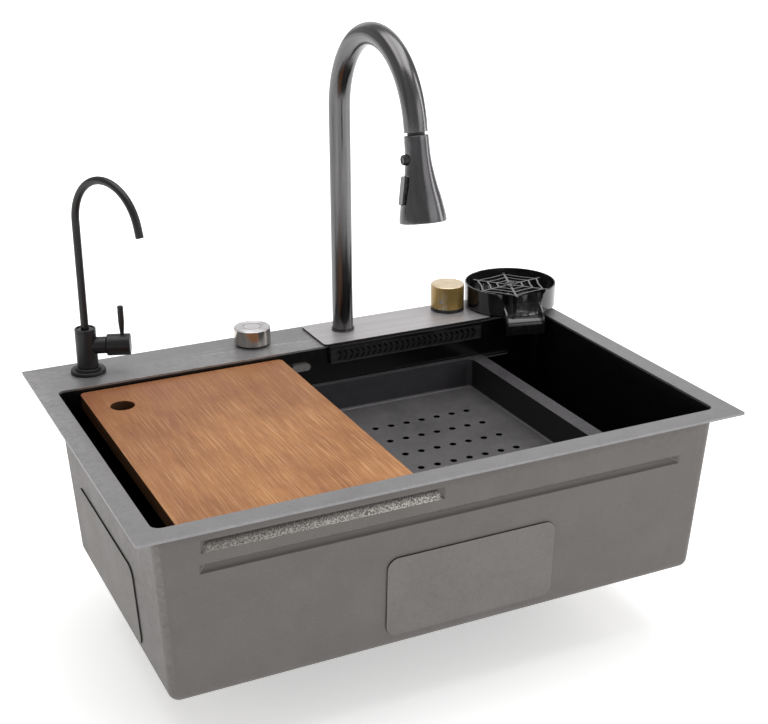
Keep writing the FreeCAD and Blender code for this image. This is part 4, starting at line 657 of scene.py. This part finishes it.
makePanel(panelSettings)


print("bowl")
bowlSettings = {
    "left": -351.5, "right": 351.5, "front": -235, "back": 174, "depth": 217, "taper": 12,
    "corner": 12, "floorRound": 12, "wall": 1.5,
    # left, right, top and bottom of each pressed groove, seen from outside
    "frontGrooves": ((-301.5, -16.5, -22.5, -36.5), (-303.5, 303.5, -50.5, -60.5)),
    "backGrooves": ((-301.5, -48.5, -22.5, -36.5), (-303.5, 303.5, -50.5, -60.5)),
    "grooveDepth": 8, "grooveNose": 3.2, "grooveEnds": 8, "grooveRound": 1.3,
    "window": ((18.8, 254.2), (150, 190), (-22.2, 5)),
    "slot": ((-31.5, -14.5), (150, 190), (-23.5, -18.5)),
    "waste": (0, 40, 44.2),
}


def pressGroove(side, groove, s):
    # marks a rectangle on the front (-1) or rear (1) wall and presses it in
    left, right, high, low = groove

    def onWall(face):
        return face.normal.y * side > 0.9

    def inBand(face):
        return onWall(face) and low < middleOf(face).z < high

    for level in (high, low):
        choose("FACE", onWall)
        bpy.ops.mesh.bisect(plane_co=(0, 0, level / 1000), plane_no=(0, 0, 1))
    for place in (left, right):
        choose("FACE", inBand)
        bpy.ops.mesh.bisect(plane_co=(place / 1000, 0, 0), plane_no=(1, 0, 0))
    choose("FACE", lambda face: inBand(face) and left < middleOf(face).x < right)
    pull(y=-side * s["grooveDepth"])
    bottom = s["back"] if side > 0 else s["front"]
    deep = bottom - side * s["grooveDepth"] * 0.6

    def sunk(corner):
        spot = corner.co * 1000
        return (spot.y - deep) * side < 0 and low - 0.1 < spot.z < high + 0.1 and abs(spot.y - bottom) < 20

    choose("VERT", lambda corner: sunk(corner) and corner.co.z * 1000 < (low + high) / 2)
    shift(z=(high - low) - s["grooveNose"])
    for end, way in ((left, 1), (right, -1)):
        choose("VERT", lambda corner: sunk(corner) and abs(corner.co.x * 1000 - end) < 1)
        shift(x=way * s["grooveEnds"])


def makeBowl(s):
    bowl = block("bowlShell", (s["left"], s["front"], -s["depth"]), (s["right"], s["back"], 0))
    openMesh(bowl)
    for wayX, wayY in ((1, 0), (-1, 0), (0, 1), (0, -1)):
        choose("VERT", lambda corner: corner.co.z < -0.1 and (
            corner.co.x * wayX > 0 if wayX else (corner.co.y + 0.0305) * wayY > 0))
        shift(x=-wayX * s["taper"], y=-wayY * s["taper"])
    choose("EDGE", upright(s["depth"] / 2))
    roundOff(s["corner"], 8)
    choose("EDGE", lowerThan(0.1 - s["depth"]))
    roundOff(s["floorRound"], 7)
    for side, grooves in ((-1, s["frontGrooves"]), (1, s["backGrooves"])):
        for groove in grooves:
            pressGroove(side, groove, s)
    choose("FACE", lambda face: face.normal.z > 0.9 and middleOf(face).z > -1)
    bpy.ops.mesh.delete(type="FACE")
    closeMesh()
    finishWith(bowl, "BEVEL", width=s["grooveRound"] / 1000, segments=3, limit_method="ANGLE",
               angle_limit=math.radians(24))
    paint(bowl, wallGrey)
    bowl.data.materials.append(insideBlack)
    thicken(bowl, s["wall"], material_offset=1, material_offset_rim=1)
    for key in ("window", "slot"):
        spans = s[key]
        carve(bowl, block(key, [span[0] for span in spans], [span[1] for span in spans]))
    x, y, radius = s["waste"]
    carve(bowl, drum("waste", radius, -s["depth"] - 10, -s["depth"] + 10, x, y, 64))
    smooth(bowl, 35)
    return settle(bowl, "sink", "bowl", "bowl")


makeBowl(bowlSettings)


print("pads")
padSettings = {
    "thickness": 2, "corner": 14, "drop": 149, "height": 102, "lean": 3.165, "comeIn": 8.24,
    "frontCentre": 22, "frontLength": 218, "sideCentre": -8, "sideLength": 232,
}


def makePad(name, length, s):
    # lies flat with its face up; stood against a wall afterwards
    half, high = length / 2, s["height"] / 2
    pad = uprightBlock(name, (-half, -high, 0), (half, high, s["thickness"]), s["corner"], 8)
    soften(pad, 0.35, 2, 40)
    paint(pad, padEdge)
    return paint(pad, padGrey, lambda spot, normal: normal.z > 0.9)


def makePads(s):
    lean, comeIn, drop, bowl = s["lean"], s["comeIn"], -s["drop"], bowlSettings
    front = moved(makePad("frontPad", s["frontLength"], s), s["frontCentre"], bowl["front"] + comeIn, drop,
                  tilt=90 + lean)
    back = moved(makePad("backPad", s["frontLength"], s), turn=180)
    back = moved(back, s["frontCentre"], bowl["back"] - comeIn, drop, tilt=-90 - lean)
    settle(gather("frontRearPads", [front, back]), "sink", "pad", "front_rear_pads")
    left = moved(makePad("leftPad", s["sideLength"], s), turn=90)
    left = moved(left, bowl["left"] + comeIn, s["sideCentre"], drop, lean=-90 - lean)
    right = moved(makePad("rightPad", s["sideLength"], s), turn=90)
    right = moved(right, bowl["right"] - comeIn, s["sideCentre"], drop, lean=90 + lean)
    settle(gather("sidePads", [left, right]), "sink", "pad", "side_pads")


makePads(padSettings)


print("waterfall outlet")
waterfallSettings = {
    "plate": ((13, 169.5, 3), (272, 254, 6)), "plateCorner": 6,
    "plateHoles": ((61, 217, 12.2), (232, 229, 17.2)),
    "boxFront": 165.5, "boxBack": 199.5, "boxLeft": 19, "boxRight": 254, "boxLow": -22, "wall": 1.5,
    "slotLength": 7, "slotWidth": 2.2, "slant": 35, "pitch": 8.6, "rise": 3.9, "slots": 25,
    "grilleThickness": 2.5,
}


def makeWaterfall(s):
    low, high = s["plate"]
    plate = uprightBlock("waterfallPlate", low, high, s["plateCorner"], 6)
    for x, y, radius in s["plateHoles"]:
        carve(plate, drum("hole", radius, -5, 12, x, y, 48))
    soften(plate, 0.5, 2, 40)
    paint(plate, blackMetal)
    paint(plate, plateSteel, lambda spot, normal: normal.z > 0.8)
    settle(plate, "sink", "polished", "waterfall_plate")

    left, right, front, back = s["boxLeft"], s["boxRight"], s["boxFront"], s["boxBack"]
    skin = s["wall"]
    box = block("waterBox", (left, front, s["boxLow"]), (right, back, 3))
    carve(box, block("step", (left - 5, 172.3, 0), (right + 5, back + 5, 9)))
    carve(box, block("cavity", (left + skin, front - 5, s["boxLow"] + skin),
                     (right - skin, back - skin, -skin)))
    carve(box, drum("inlet", 8, -60, -18, (left + right) / 2, back - 13, 40))
    pipe = turned("inletPipe", [(8, -50), (10.48, -50), (10.48, -22), (8, -22)], 40)
    gathered = gather("waterBox", [box, moved(pipe, (left + right) / 2, back - 13)])
    soften(gathered, 0.4, 2, 40)
    paint(gathered, blackGloss)
    settle(gathered, "sink", "black_plastic", "waterfall_box")

    middle = (left + right) / 2
    length, height = right - left - 2 * skin - 0.4, -s["boxLow"] - 2 * skin - 0.4
    grilleLow = s["boxLow"] + skin + 0.2
    grille = block("grille", (middle - length / 2, front, grilleLow),
                   (middle + length / 2, front + s["grilleThickness"], grilleLow + height))
    cutters = []
    for row, way in ((-1, 1), (1, -1)):
        for number in range(s["slots"]):
            half, thick = s["slotLength"] / 2, s["slotWidth"] / 2
            cutter = uprightBlock("slot", (-thick, -half, -6), (thick, half, 6), thick * 0.9, 3)
            moved(cutter, tilt=90)
            moved(cutter, lean=way * s["slant"])
            cutters.append(moved(cutter, middle + (number - (s["slots"] - 1) / 2) * s["pitch"],
                                 front + 1, grilleLow + height / 2 + row * s["rise"]))
    carve(grille, gather("slots", cutters))
    smooth(grille, 30)
    paint(grille, blackMetal)
    settle(grille, "sink", "black_plastic", "waterfall_grille")


makeWaterfall(waterfallSettings)


print("main tap")
tapSettings = {
    "x": 61, "y": 217, "foot": 9, "top": 312, "radius": 14.3, "wall": 2, "bend": 111, "sweep": 169,
    "end": 10, "liner": 10.5, "linerProud": 3.5,
    "headX": 61, "headY": -4.87, "headZ": 323.36, "headTilt": -11,
}


def markAlong(piece, axisPoint):
    # gives each corner its turn round the tube and its way along it, for the brushing
    marks = piece.data.attributes.new("alongTube", "FLOAT_VECTOR", "POINT")
    for corner, mark in zip(piece.data.vertices, marks.data):
        mark.vector = axisPoint(corner.co * 1000)


def alongNeck(s):
    centreY, centreZ = s["y"] - s["bend"], s["top"]

    def mark(spot):
        if spot.z < centreZ and spot.y > centreY:
            across, side, along = spot.x - s["x"], spot.y - s["y"], spot.z
        else:
            dy, dz = spot.y - centreY, spot.z - centreZ
            turn = math.atan2(dz, dy) % math.tau
            across, side = spot.x - s["x"], math.hypot(dy, dz) - s["bend"]
            along = centreZ + s["bend"] * min(turn, math.pi * 1.2)
        return (across / 1000, side / 1000, along / 1000)
    return mark


def alongAxis(spot):
    return (spot.x / 1000, spot.y / 1000, spot.z / 1000)


def onSpray(piece):
    s = tapSettings
    return moved(piece, s["headX"], s["headY"], s["headZ"], tilt=s["headTilt"])


def makeNeck(s):
    neck = bentRun("neck", s["radius"], (s["x"], s["y"], s["foot"]), {"top": s["top"], "steps": 10},
                   s["bend"], s["sweep"], s["end"], 56, 64)
    thicken(neck, s["wall"])
    soften(neck, 0.4, 2, 50)
    markAlong(neck, alongNeck(s))
    paint(neck, brushedGun)
    settle(neck, "column", "gunmetal", "tap_column")


makeNeck(tapSettings)

headSettings = {
    "profile": ((7, -3.5), (13.7, -3.5), (14.3, -3.9), (14.7, -4.6), (14.9, -12), (15, -20), (15.4, -29),
                (16.2, -38), (17.4, -46), (18.9, -55), (20.9, -65), (23.2, -74), (25.2, -83),
                (26.8, -92), (28, -99), (28.5, -104.6), (28.2, -105.6), (27.6, -106), (26.3, -106),
                (26.3, -101), (23.3, -101), (19.7, -74), (13.9, -46), (11.5, -20), (11.5, -13), (7, -13)),
    "button": 6.3, "buttonDrop": 31, "buttonSeat": 17,
    "rockerDrop": 67, "rockerSeat": 20.3, "rockerSlope": 11.5, "rockerLength": 34, "rockerWidth": 11,
    "rockerThickness": 3.3, "rockerLift": 1.7, "gap": 0.7,
}


def makeSpray(s):
    head = turned("sprayHead", s["profile"], 96)
    hole = drum("buttonHole", s["button"] + 0.4, -10, 10, steps=32)
    moved(hole, lean=90)
    carve(head, moved(hole, -16.5, 0, -s["buttonDrop"]))
    long, wide = s["rockerLength"] / 2 + s["gap"], s["rockerWidth"] / 2 + s["gap"]
    pocket = block("pocket", (-12, -wide, -long), (0, wide, long))
    moved(pocket, -s["rockerSeat"], 0, -s["rockerDrop"], lean=s["rockerSlope"])
    carve(head, pocket)
    soften(head, 0.35, 2, 34)
    markAlong(head, alongAxis)
    paint(head, spunGun)
    settle(onSpray(head), "spray", "gunmetal", "spray_head")

    face = turned("sprayFace", (
        (0, -105), (8, -105), (9, -105.6), (13, -105.6), (14, -104.8), (16.5, -104.8), (17.5, -105.4),
        (21, -105.4), (22, -104.8), (26, -104.8), (26, -101.4), (0, -101.4)), 64)
    jets = []
    for count, ring in ((16, 19), (8, 11)):
        for number in range(count):
            turn = math.tau * number / count
            jets.append(drum("jet", 0.9, -110, -95, ring * math.cos(turn), ring * math.sin(turn), 10))
    carve(face, gather("jets", jets))
    soften(face, 0.15, 1, 34)
    paint(face, mattBlack)
    settle(onSpray(face), "spray", "matt_plastic", "spray_face")

    button = turned("sprayButton", ((0, 0), (s["button"], 0), (s["button"], 10), (5.6, 11.2), (4.4, 11.5),
                                    (3.2, 11.1), (0, 10.9)), 40)
    moved(button, lean=-90)
    moved(button, -s["buttonSeat"] + 7.4, 0, -s["buttonDrop"])
    soften(button, 0.3, 2, 30)
    paint(button, blackMetal)
    settle(onSpray(button), "spray_button", "black_plastic", "spray_button")

    lift, thick = s["rockerLift"], s["rockerThickness"]
    long, wide = s["rockerLength"] / 2, s["rockerWidth"] / 2
    rocker = uprightBlock("rockerPlate", (-long, -wide, lift), (long, wide, lift + thick), 2.2, 5)
    openMesh(rocker)
    choose("FACE", lambda face: face.normal.z > 0.9)
    bpy.ops.mesh.inset(thickness=0.0016, depth=-0.0003)
    closeMesh()
    moved(rocker, lean=-90)
    pin = drum("rockerPin", 2, -5.4, 5.4, steps=24)
    moved(pin, tilt=90)
    moved(pin, -1.4)
    rocker = gather("sprayRocker", [rocker, pin])
    moved(rocker, -s["rockerSeat"], 0, -s["rockerDrop"], lean=s["rockerSlope"])
    soften(rocker, 0.6, 3, 34)
    paint(rocker, blackMetal)
    paint(rocker, rockerGrey, lambda spot, normal: normal.x < -0.8)
    settle(onSpray(rocker), "spray_rocker", "black_plastic", "spray_rocker")

    liner = turned("neckLiner", ((8.6, -tapSettings["linerProud"]),
                                 (tapSettings["liner"], -tapSettings["linerProud"]),
                                 (tapSettings["liner"], 0), (12.25, 0.2), (12.25, 9), (8.6, 9)), 64)
    soften(liner, 0.2, 2, 34)
    paint(liner, mattBlack)
    settle(onSpray(liner), "column", "black_plastic", "tap_liner")


makeSpray(headSettings)


print("filter tap")
filterSettings = {
    "x": -297, "y": 222, "z": 3, "heading": -20, "spoutHeading": 24,
    "flange": ((13.7, 0), (22.5, 0), (22.5, 3.4), (21.9, 4.4), (21, 5), (17, 5), (17, 7), (16, 8),
               (13.7, 8)),
    "body": ((0, 0), (13.5, 0), (13.5, 55.6), (13.2, 56), (13.2, 56.5), (13.5, 56.9), (13.5, 59.2),
             (12.7, 60), (10.8, 60), (10.8, 57), (5.05, 57), (5.05, 39), (0, 39)),
    "stub": 11, "level": 36, "stubReach": 26, "hub": 14,
    "spoutRadius": 5, "spoutWall": 1.4, "spoutBend": 60, "sweep": 167, "end": 14,
}


def layAlongX(piece, along, level):
    moved(piece, lean=90)
    return moved(piece, along, 0, level)


def makeFilterTap(s):
    def stand(piece, turn, body, node):
        moved(piece, s["x"], s["y"], s["z"], turn=turn)
        return settle(paint(piece, blackMetal), body, "black_metal", node)

    flange = soften(turned("filterFlange", s["flange"], 64), 0.3, 2, 30)
    stand(flange, 0, "sink", "filter_flange")

    body = turned("filterBody", s["body"], 64)
    stub = turned("stub", ((0, 0), (s["stub"], 0), (s["stub"], 18.3), (10.3, 19), (8, 19), (8, 9),
                           (0, 9)), 48)
    weld(body, layAlongX(stub, 7, s["level"]))
    soften(body, 0.35, 2, 34)
    stand(body, s["heading"], "sink", "filter_body")

    wide = s["hub"]
    hub = turned("filterHub", ((5.05, 0), (wide - 1, 0), (wide, 1), (wide, 29), (wide - 1, 30), (10, 30),
                               (9.4, 29.6), (0, 29.6), (0, 17), (5.05, 17)), 64)
    layAlongX(hub, s["stubReach"] + 0.3, s["level"])
    carve(hub, drum("drilling", 2.6, s["level"] + 8, s["level"] + 20, s["stubReach"] + 20.3, 0, 24))
    soften(hub, 0.35, 2, 34)
    stand(hub, s["heading"], "filter_handle", "filter_hub")

    lever = turned("filterLever", ((0, 8), (2.6, 8), (2.6, 16.6), (2.9, 18.6), (3.4, 24), (3.9, 31),
                                   (3.9, 51), (3.6, 51.7), (2.9, 52), (0, 52)), 32)
    moved(lever, s["stubReach"] + 20.3, 0, s["level"])
    smooth(lever, 40)
    stand(lever, s["heading"], "filter_handle", "filter_lever")

    spout = bentRun("filterSpout", s["spoutRadius"], (0, 0, 40), {"top": 201, "steps": 8},
                    s["spoutBend"], s["sweep"], s["end"], 44, 36)
    thicken(spout, s["spoutWall"])
    soften(spout, 0.3, 2, 50)
    stand(spout, s["spoutHeading"], "filter_spout", "filter_spout")

    collar = turned("filterCollar", ((5, 57), (10.5, 57), (10.5, 58.4), (9.9, 59), (6, 59), (5, 58.4)), 48)
    soften(collar, 0.2, 2, 34)
    stand(collar, 0, "filter_spout", "filter_collar")


makeFilterTap(filterSettings)


print("knobs")
knobSettings = {
    "drain": {"x": -70, "y": 225, "z": 3, "radius": 24.8, "base": 2.3, "height": 23},
    "mixer": {"x": 232, "y": 229, "z": 6, "radius": 24, "base": 4.8, "height": 34, "grub": 17,
              "heading": 220},
}


def makeKnobs(s):
    d = s["drain"]
    low, top, wide = d["base"], d["base"] + d["height"], d["radius"]
    rings = []
    for radius in (21.6, 18.4, 15.2):
        rings += [(radius + 0.5, top), (radius + 0.2, top - 0.35), (radius - 0.2, top - 0.35),
                  (radius - 0.5, top)]
    profile = [(19, low), (wide - 1.2, low), (wide, low + 1.2), (wide, top - 1.2), (wide - 1.2, top),
               *rings, (13, top), (13, top - 1), (12, top - 1), (12, top), (0, top),
               (0, 15), (6, 15), (6, low + 6), (19, low + 6)]
    knob = turned("drainKnob", profile, 96)
    soften(knob, 0.15, 2, 30)
    paint(knob, silverSide)
    paint(knob, silverTop, lambda spot, normal: normal.z > 0.3)
    settle(moved(knob, d["x"], d["y"], d["z"]), "drain_knob", "polished", "drain_knob")

    foot = turned("drainRing", ((12.2, 0), (21.5, 0), (21.5, 1.6), (21.1, 2), (12.2, 2)), 72)
    settle(paint(moved(smooth(foot), d["x"], d["y"], d["z"]), mattBlack), "sink", "black_plastic",
           "drain_knob_ring")

    m = s["mixer"]
    low, top, wide = m["base"], m["base"] + m["height"], m["radius"]
    profile = [(19, low), (wide - 0.5, low), (wide, low + 0.5), (wide, top - 1.2), (wide - 1.2, top),
               (0, top), (0, 20), (4, 20), (4, low + 6), (19, low + 6)]
    knob = turned("mixerKnob", profile, 96)
    drill = drum("drill", 3.1, 3, 30, steps=28)
    moved(drill, lean=90)
    moved(drill, 0, 0, m["grub"])
    carve(knob, moved(drill, turn=m["heading"]))
    soften(knob, 0.3, 2, 30)
    paint(knob, goldSide)
    paint(knob, goldTop, lambda spot, normal: normal.z > 0.3)
    settle(moved(knob, m["x"], m["y"], m["z"]), "mixer_knob", "brass", "mixer_knob")

    screw = turned("grubScrew", ((0, 4.1), (3, 4.1), (3, 22.7), (2.5, 23.2), (1.4, 23.2), (1.4, 21.4),
                                 (0, 21.4)), 24)
    moved(screw, lean=90)
    moved(screw, 0, 0, m["grub"])
    moved(screw, turn=m["heading"])
    settle(paint(moved(smooth(screw), m["x"], m["y"], m["z"]), steel), "mixer_knob", "steel", "mixer_screw")

    foot = turned("mixerRing", ((18.2, 0), (24, 0), (24, 3.9), (23.4, 4.5), (18.2, 4.5)), 72)
    settle(paint(moved(smooth(foot), m["x"], m["y"], m["z"]), blackMetal), "sink", "black_plastic",
           "mixer_ring")


makeKnobs(knobSettings)


print("cup rinser")
rinserSettings = {
    "x": 324, "y": 208, "z": 3, "heading": -13, "radius": 66, "wall": 2.5, "lift": 3.3, "height": 38,
    "gapTop": 76, "lipWidth": 56, "cheek": 2.5, "reach": 76, "drop": 18,
    "hubLow": 28.3, "webLow": 29.8, "webThickness": 3, "webRadius": 55.5, "webTurn": 22.6, "arms": 6,
}


def standRinser(piece):
    s = rinserSettings
    return moved(piece, s["x"], s["y"], s["z"], turn=s["heading"])


def makeCup(s):
    wide, lift, floorTop = s["radius"], s["lift"], s["lift"] + s["wall"]
    brim, inside = s["height"], wide - s["wall"]
    cup = turned("rinserCup", (
        (10.2, 0), (30, 0), (30, lift), (wide - 5, lift), (wide - 2, lift + 1.2), (wide, lift + 4),
        (wide, brim - 1.2), (wide - 0.5, brim - 0.2), (wide - 1.2, brim), (wide - 2, brim - 0.2),
        (inside, brim - 1), (inside, floorTop), (10.2, floorTop)), 120)
    top, inner = s["gapTop"] / 2, s["lipWidth"] / 2 - s["cheek"]
    side = [(inner, floorTop), (inner, 15), (inner + 0.7, 20), (inner + 2.4, 25), (inner + 4.8, 29.5),
            (inner + 7.8, 33.4), (top - 1.6, 36.6), (top, 38), (top + 3, 42)]
    points = [(x, -40, z) for x, z in side] + [(-x, -40, z) for x, z in reversed(side)]
    carve(cup, cutOut("gap", points, (0, -40, 0)))
    reach, skin, low = s["reach"], s["wall"], -s["drop"]
    under = [(-54, lift), (-61, lift - 0.3), (-66.8, lift - 2.4), (-reach + skin + 0.6, lift - 6.4),
             (-reach + skin, lift - 10), (-reach + skin, low)]
    above = [(-reach, low), (-reach, lift - 9.4), (-reach + 0.6, lift - 6), (-reach + 2.6, lift - 2.6),
             (-68.4, lift + 0.5), (-62, lift + 2.2), (-54, floorTop)]
    half = s["lipWidth"] / 2
    lip = cutOut("lip", [(-half, y, z) for y, z in under + above], (s["lipWidth"], 0, 0))
    edge = [(-reach - 2, low), (-reach - 2, lift - 5), (-reach - 0.8, lift + 1), (-reach + 2.4, lift + 6.5),
            (-reach + 7, lift + 11), (-63.5, 18), (-58, 20.6), (-54, 21)]
    cheeks = [cutOut("cheek", [(start, y, z + 0.1) for y, z in under] + [(start, y, z) for y, z in edge],
                     (s["cheek"], 0, 0)) for start in (-half, half - s["cheek"])]
    weld(cup, lip, *cheeks)
    soften(cup, 0.7, 3, 40)
    return settle(paint(standRinser(cup), blackGloss), "sink", "black_plastic", "rinser_bowl")


def makeWeb(s):
    low, thick, reach = s["webLow"], s["webThickness"], s["webRadius"]
    parts = []
    for number in range(s["arms"]):
        arm = uprightBlock("arm", (4, -1.8, low), (reach, 1.8, low + thick), 1.7, 4)
        parts.append(moved(arm, turn=number * 60))
        turn = math.radians(number * 60)
        parts.append(drum("armEnd", 2.5, low, low + thick + 0.4, reach * math.cos(turn),
                          reach * math.sin(turn), 20))
        for ring, sag in ((21, 3.4), (35, 5.6), (50, 8)):
            for step in range(6):
                # a strand hangs inward between two arms
                turns = [math.radians(number * 60 + 10 * step), math.radians(number * 60 + 10 * (step + 1))]
                ends = [ring - sag * math.sin(math.pi * (step + offset) / 6) for offset in (0, 1)]
                (x0, y0), (x1, y1) = [(r * math.cos(t), r * math.sin(t)) for r, t in zip(ends, turns)]
                run = math.hypot(x1 - x0, y1 - y0)
                half = run / 2 + 0.8
                bar = block("bar", (-half, -1.4, low + 0.2), (half, 1.4, low + thick - 0.2))
                bar = moved(bar, turn=math.degrees(math.atan2(y1 - y0, x1 - x0)))
                parts.append(moved(bar, (x0 + x1) / 2, (y0 + y1) / 2))
    top = low + thick
    parts.append(turned("hub", ((0, s["hubLow"]), (9, s["hubLow"]), (9, top - 0.4), (8, top + 1),
                                (6, top + 2.6), (3, top + 3.7), (0, top + 4)), 48))
    web = moved(gather("rinserWeb", parts), turn=s["webTurn"])
    finishWith(web, "REMESH", mode="VOXEL", voxel_size=0.0005)
    finishWith(web, "SMOOTH", factor=0.6, iterations=3)
    smooth(web, 60)
    return settle(paint(standRinser(web), blackGloss), "rinser_press", "black_plastic", "rinser_web")


makeCup(rinserSettings)
makeWeb(rinserSettings)


print("board and tray")
boardSettings = {
    "left": -323, "right": -51, "front": -229.84, "back": 168.84, "top": -3, "bottom": -21,
    "corner": 7, "edge": 1.8, "hole": (-285, 106.84, 15),
}
traySettings = {
    "left": -75, "right": 256, "gapFront": -229.59, "gapBack": 168.59, "top": -47.8, "seat": -49,
    "flangeCorner": 6, "tub": (-55, 236), "tubFront": -221.49, "tubBack": 160.49, "tubCorner": 12,
    "depth": 42, "wall": 1.2, "hole": 4.5, "pitch": 23, "columns": 10, "rows": 6, "rowPitch": 44.5,
    "holeRight": 51, "holeBack": 77.5,
}


def makeBoard(s):
    board = uprightBlock("board", (s["left"], s["front"], s["bottom"]), (s["right"], s["back"], s["top"]),
                         s["corner"], 8)
    x, y, radius = s["hole"]
    carve(board, drum("fingerHole", radius, s["bottom"] - 5, s["top"] + 5, x, y, 64))
    soften(board, s["edge"], 4, 40)
    return settle(paint(board, oiledWood), "board", "wood", "cutting_board")


def makeTray(s):
    seat, skin = s["seat"], s["wall"]
    tray = uprightBlock("tray", (s["left"], s["gapFront"], seat), (s["right"], s["gapBack"], s["top"]),
                        s["flangeCorner"], 6)
    left, right = s["tub"]
    front, back, corner, bed = s["tubFront"], s["tubBack"], s["tubCorner"], seat - s["depth"]
    tub = uprightBlock("tub", (left, front, bed), (right, back, seat + 0.6), corner, 8)
    openMesh(tub)
    choose("EDGE", lowerThan(bed + 0.1))
    roundOff(5, 4)
    closeMesh()
    weld(tray, tub)
    hollow = uprightBlock("hollow", (left + skin, front + skin, bed + skin),
                          (right - skin, back - skin, seat + 9), corner - skin, 8)
    openMesh(hollow)
    choose("EDGE", lowerThan(bed + skin + 0.1))
    roundOff(4, 4)
    closeMesh()
    carve(tray, hollow)
    drills = []
    for column in range(s["columns"]):
        for row in range(s["rows"]):
            drills.append(drum("drill", s["hole"], bed - 5, bed + 6,
                               right - s["holeRight"] - column * s["pitch"],
                               back - s["holeBack"] - row * s["rowPitch"], 24))
    carve(tray, gather("drills", drills))
    soften(tray, 0.35, 2, 40)
    paint(tray, trayGrey)
    # painted light on the floor and painted shade on the walls that don't face the front
    paint(tray, litTrayFloor, lambda spot, normal: normal.z > 0.6 and spot.z < seat - 20)
    paint(tray, shadedTrayWall, lambda spot, normal: abs(normal.z) < 0.6 and spot.z < seat and normal.y > -0.6)
    return settle(tray, "tray", "dark_steel", "drain_tray")


makeBoard(boardSettings)
makeTray(traySettings)


print("remaining pieces")
finishes = {
    rubber: ("overflow_gasket", "drain_gasket", "strainer_seal", "tap_washer", "filter_washer"),
    mattBlack: ("overflow_housing", "spray_hose", "floor_pad"),
    whitePlastic: ("drain_nut", "drain_body", "tap_bush"),
    greyPlastic: ("drain_knob_housing", "drain_knob_nut", "rinser_shank", "rinser_nut"),
    coverSilver: ("overflow_cover",),
    steel: ("drain_dish", "drain_screw", "strainer_basket", "rinser_spring", "rinser_plunger",
            "mixer_stem"),
    darkGun: ("tap_shank",),
    blackMetal: ("filter_valve",),
    brass: ("tap_nut", "filter_shank", "filter_nut", "drain_knob_stem", "mixer_cartridge", "mixer_nut",
            "spray_connector"),
    blackGloss: ("rinser_valve",),
}
for material, names in finishes.items():
    for name in names:
        for slot in nodes[name].material_slots:
            slot.material = material

shown = [name for name, node in nodes.items() if not node.hide_render]
print("CAD nodes shown:", len(shown), sorted(shown))
